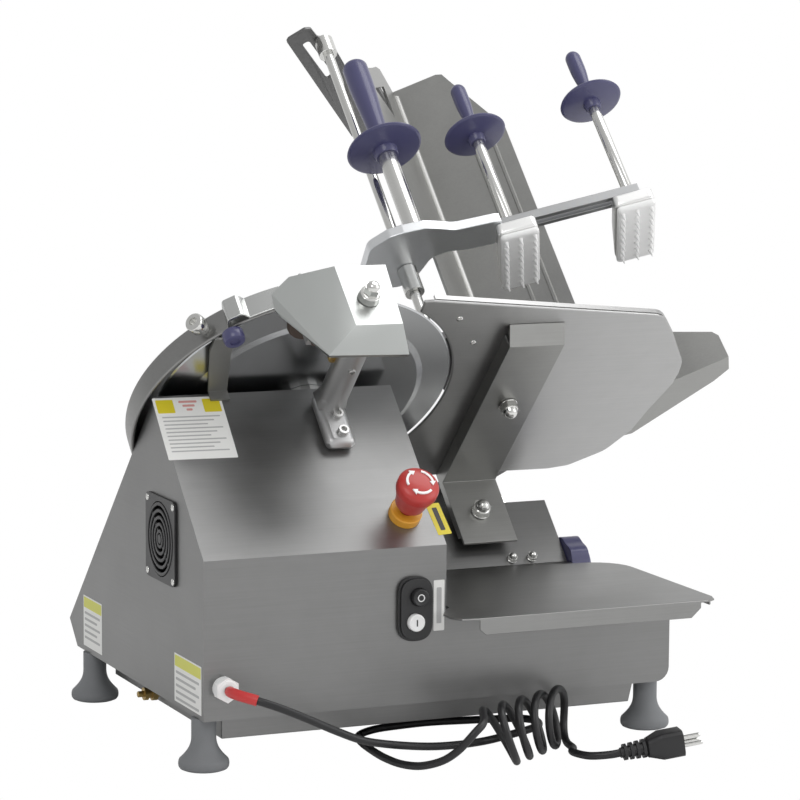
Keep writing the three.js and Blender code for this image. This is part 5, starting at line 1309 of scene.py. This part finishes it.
class SLICER_OT_stage(Build, Operator):
    """Make the pale floor, the white surroundings and the soft lamps"""
    bl_idname = "slicer.stage"
    bl_label = "Stage"

    def execute(self, context):
        s = context.scene.slicer.stage
        world = bpy.data.worlds.new("Studio")
        context.scene.world = world
        world.use_nodes = True
        tree = world.node_tree
        tree.nodes.clear()
        path = add(tree, "ShaderNodeLightPath")
        way = add(tree, "ShaderNodeTexCoord").outputs["Generated"]
        split = add(tree, "ShaderNodeSeparateXYZ", {0: way})
        shade = ramp(tree, split.outputs[2], -0.4, 0.95, 1.0, 0.98)
        side = ramp(tree, split.outputs[0], -1.0, 1.0, 0.56, 1.0)
        shade = maths(tree, "MULTIPLY", shade, side)
        colour = add(tree, "ShaderNodeCombineColor", {0: shade, 1: shade, 2: shade}).outputs[0]
        around = add(tree, "ShaderNodeBackground", {"Color": colour, "Strength": s.around})
        white = add(tree, "ShaderNodeBackground", {"Color": (1, 1, 1, 1), "Strength": 1.0})
        mixed = add(tree, "ShaderNodeMixShader", {0: path.outputs["Is Camera Ray"], 1: around.outputs[0],
                                                  2: white.outputs[0]})
        result = add(tree, "ShaderNodeOutputWorld")
        tree.links.new(mixed.outputs[0], result.inputs[0])
        for name, place, aim, size, energy in (
                ("Key", (-1.6, -2.2, 2.4), (0, 0, 0.3), (1.6, 1.6), s.key),
                ("Fill", (2.2, -1.8, 1.2), (0, 0, 0.3), (1.6, 1.6), s.fill),
                ("Top", (1.05, -0.35, 2.6), (0, 0, 0.4), (1.4, 1.9), s.top)):
            lamp = bpy.data.lights.new(name, "AREA")
            lamp.shape = "RECTANGLE"
            lamp.size, lamp.size_y = size
            lamp.energy = energy
            holder = bpy.data.objects.new(name, lamp)
            way = (Vector(aim) - Vector(place)).to_track_quat("-Z", "Y").to_matrix().to_4x4()
            holder.matrix_world = Matrix.Translation(place) @ way
            context.scene.collection.objects.link(holder)
        reach, level = 6, -0.0005
        corners = [(x * reach, y * reach, level) for x, y in ((-1, -1), (1, -1), (1, 1), (-1, 1))]
        mesh = bpy.data.meshes.new("floor")
        mesh.from_pydata(corners, [], [(0, 1, 2, 3)])
        floor = bpy.data.objects.new("floor", mesh)
        context.scene.collection.objects.link(floor)
        material, tree, shader = new_material("Floor", (0.9, 0.9, 0.9), 0.0, 0.9)
        path = add(tree, "ShaderNodeLightPath")
        glow = add(tree, "ShaderNodeEmission", {"Color": (1, 1, 1, 1), "Strength": 1.0})
        mix = add(tree, "ShaderNodeMixShader", {0: path.outputs["Is Camera Ray"], 1: shader.outputs[0],
                                                2: glow.outputs[0]})
        tree.links.new(mix.outputs[0], tree.nodes["Material Output"].inputs[0])
        mesh.materials.append(material)
        context.scene.view_settings.view_transform = "Standard"
        return {"FINISHED"}


STEPS = (SLICER_OT_camera, SLICER_OT_cord, SLICER_OT_housing, SLICER_OT_feet, SLICER_OT_fan,
         SLICER_OT_switch, SLICER_OT_stop, SLICER_OT_gland, SLICER_OT_labels, SLICER_OT_blade,
         SLICER_OT_gauge, SLICER_OT_sharpener, SLICER_OT_carriage, SLICER_OT_arm, SLICER_OT_blocks,
         SLICER_OT_inside, SLICER_OT_stage)


class SLICER_PT_panel(Panel):
    """The slicer's settings and build steps"""
    bl_idname = "SLICER_PT_panel"
    bl_label = "Deli slicer"
    bl_space_type = "VIEW_3D"
    bl_region_type = "UI"
    bl_category = "Slicer"

    def draw(self, context):
        settings = context.scene.slicer
        for name in ("cord", "foot", "fan", "stop", "blade", "pad", "grip", "stage"):
            box = self.layout.box()
            box.label(text=name.capitalize())
            part = getattr(settings, name)
            for key in part.__annotations__:
                box.prop(part, key)
        for step in STEPS:
            self.layout.operator(step.bl_idname)


CLASSES = (CordSettings, FootSettings, FanSettings, StopSettings, BladeSettings, PadSettings, GripSettings,
           StageSettings, SlicerSettings, *STEPS, SLICER_PT_panel)


def register():
    for item in CLASSES:
        bpy.utils.register_class(item)
    bpy.types.Scene.slicer = PointerProperty(type=SlicerSettings)


def unregister():
    del bpy.types.Scene.slicer
    for item in reversed(CLASSES):
        bpy.utils.unregister_class(item)


def main():
    """Register the add-on and run its steps in order."""
    register()
    for step in STEPS:
        family, name = step.bl_idname.split(".")
        getattr(getattr(bpy.ops, family), name)()


if __name__ == "__main__":
    main()
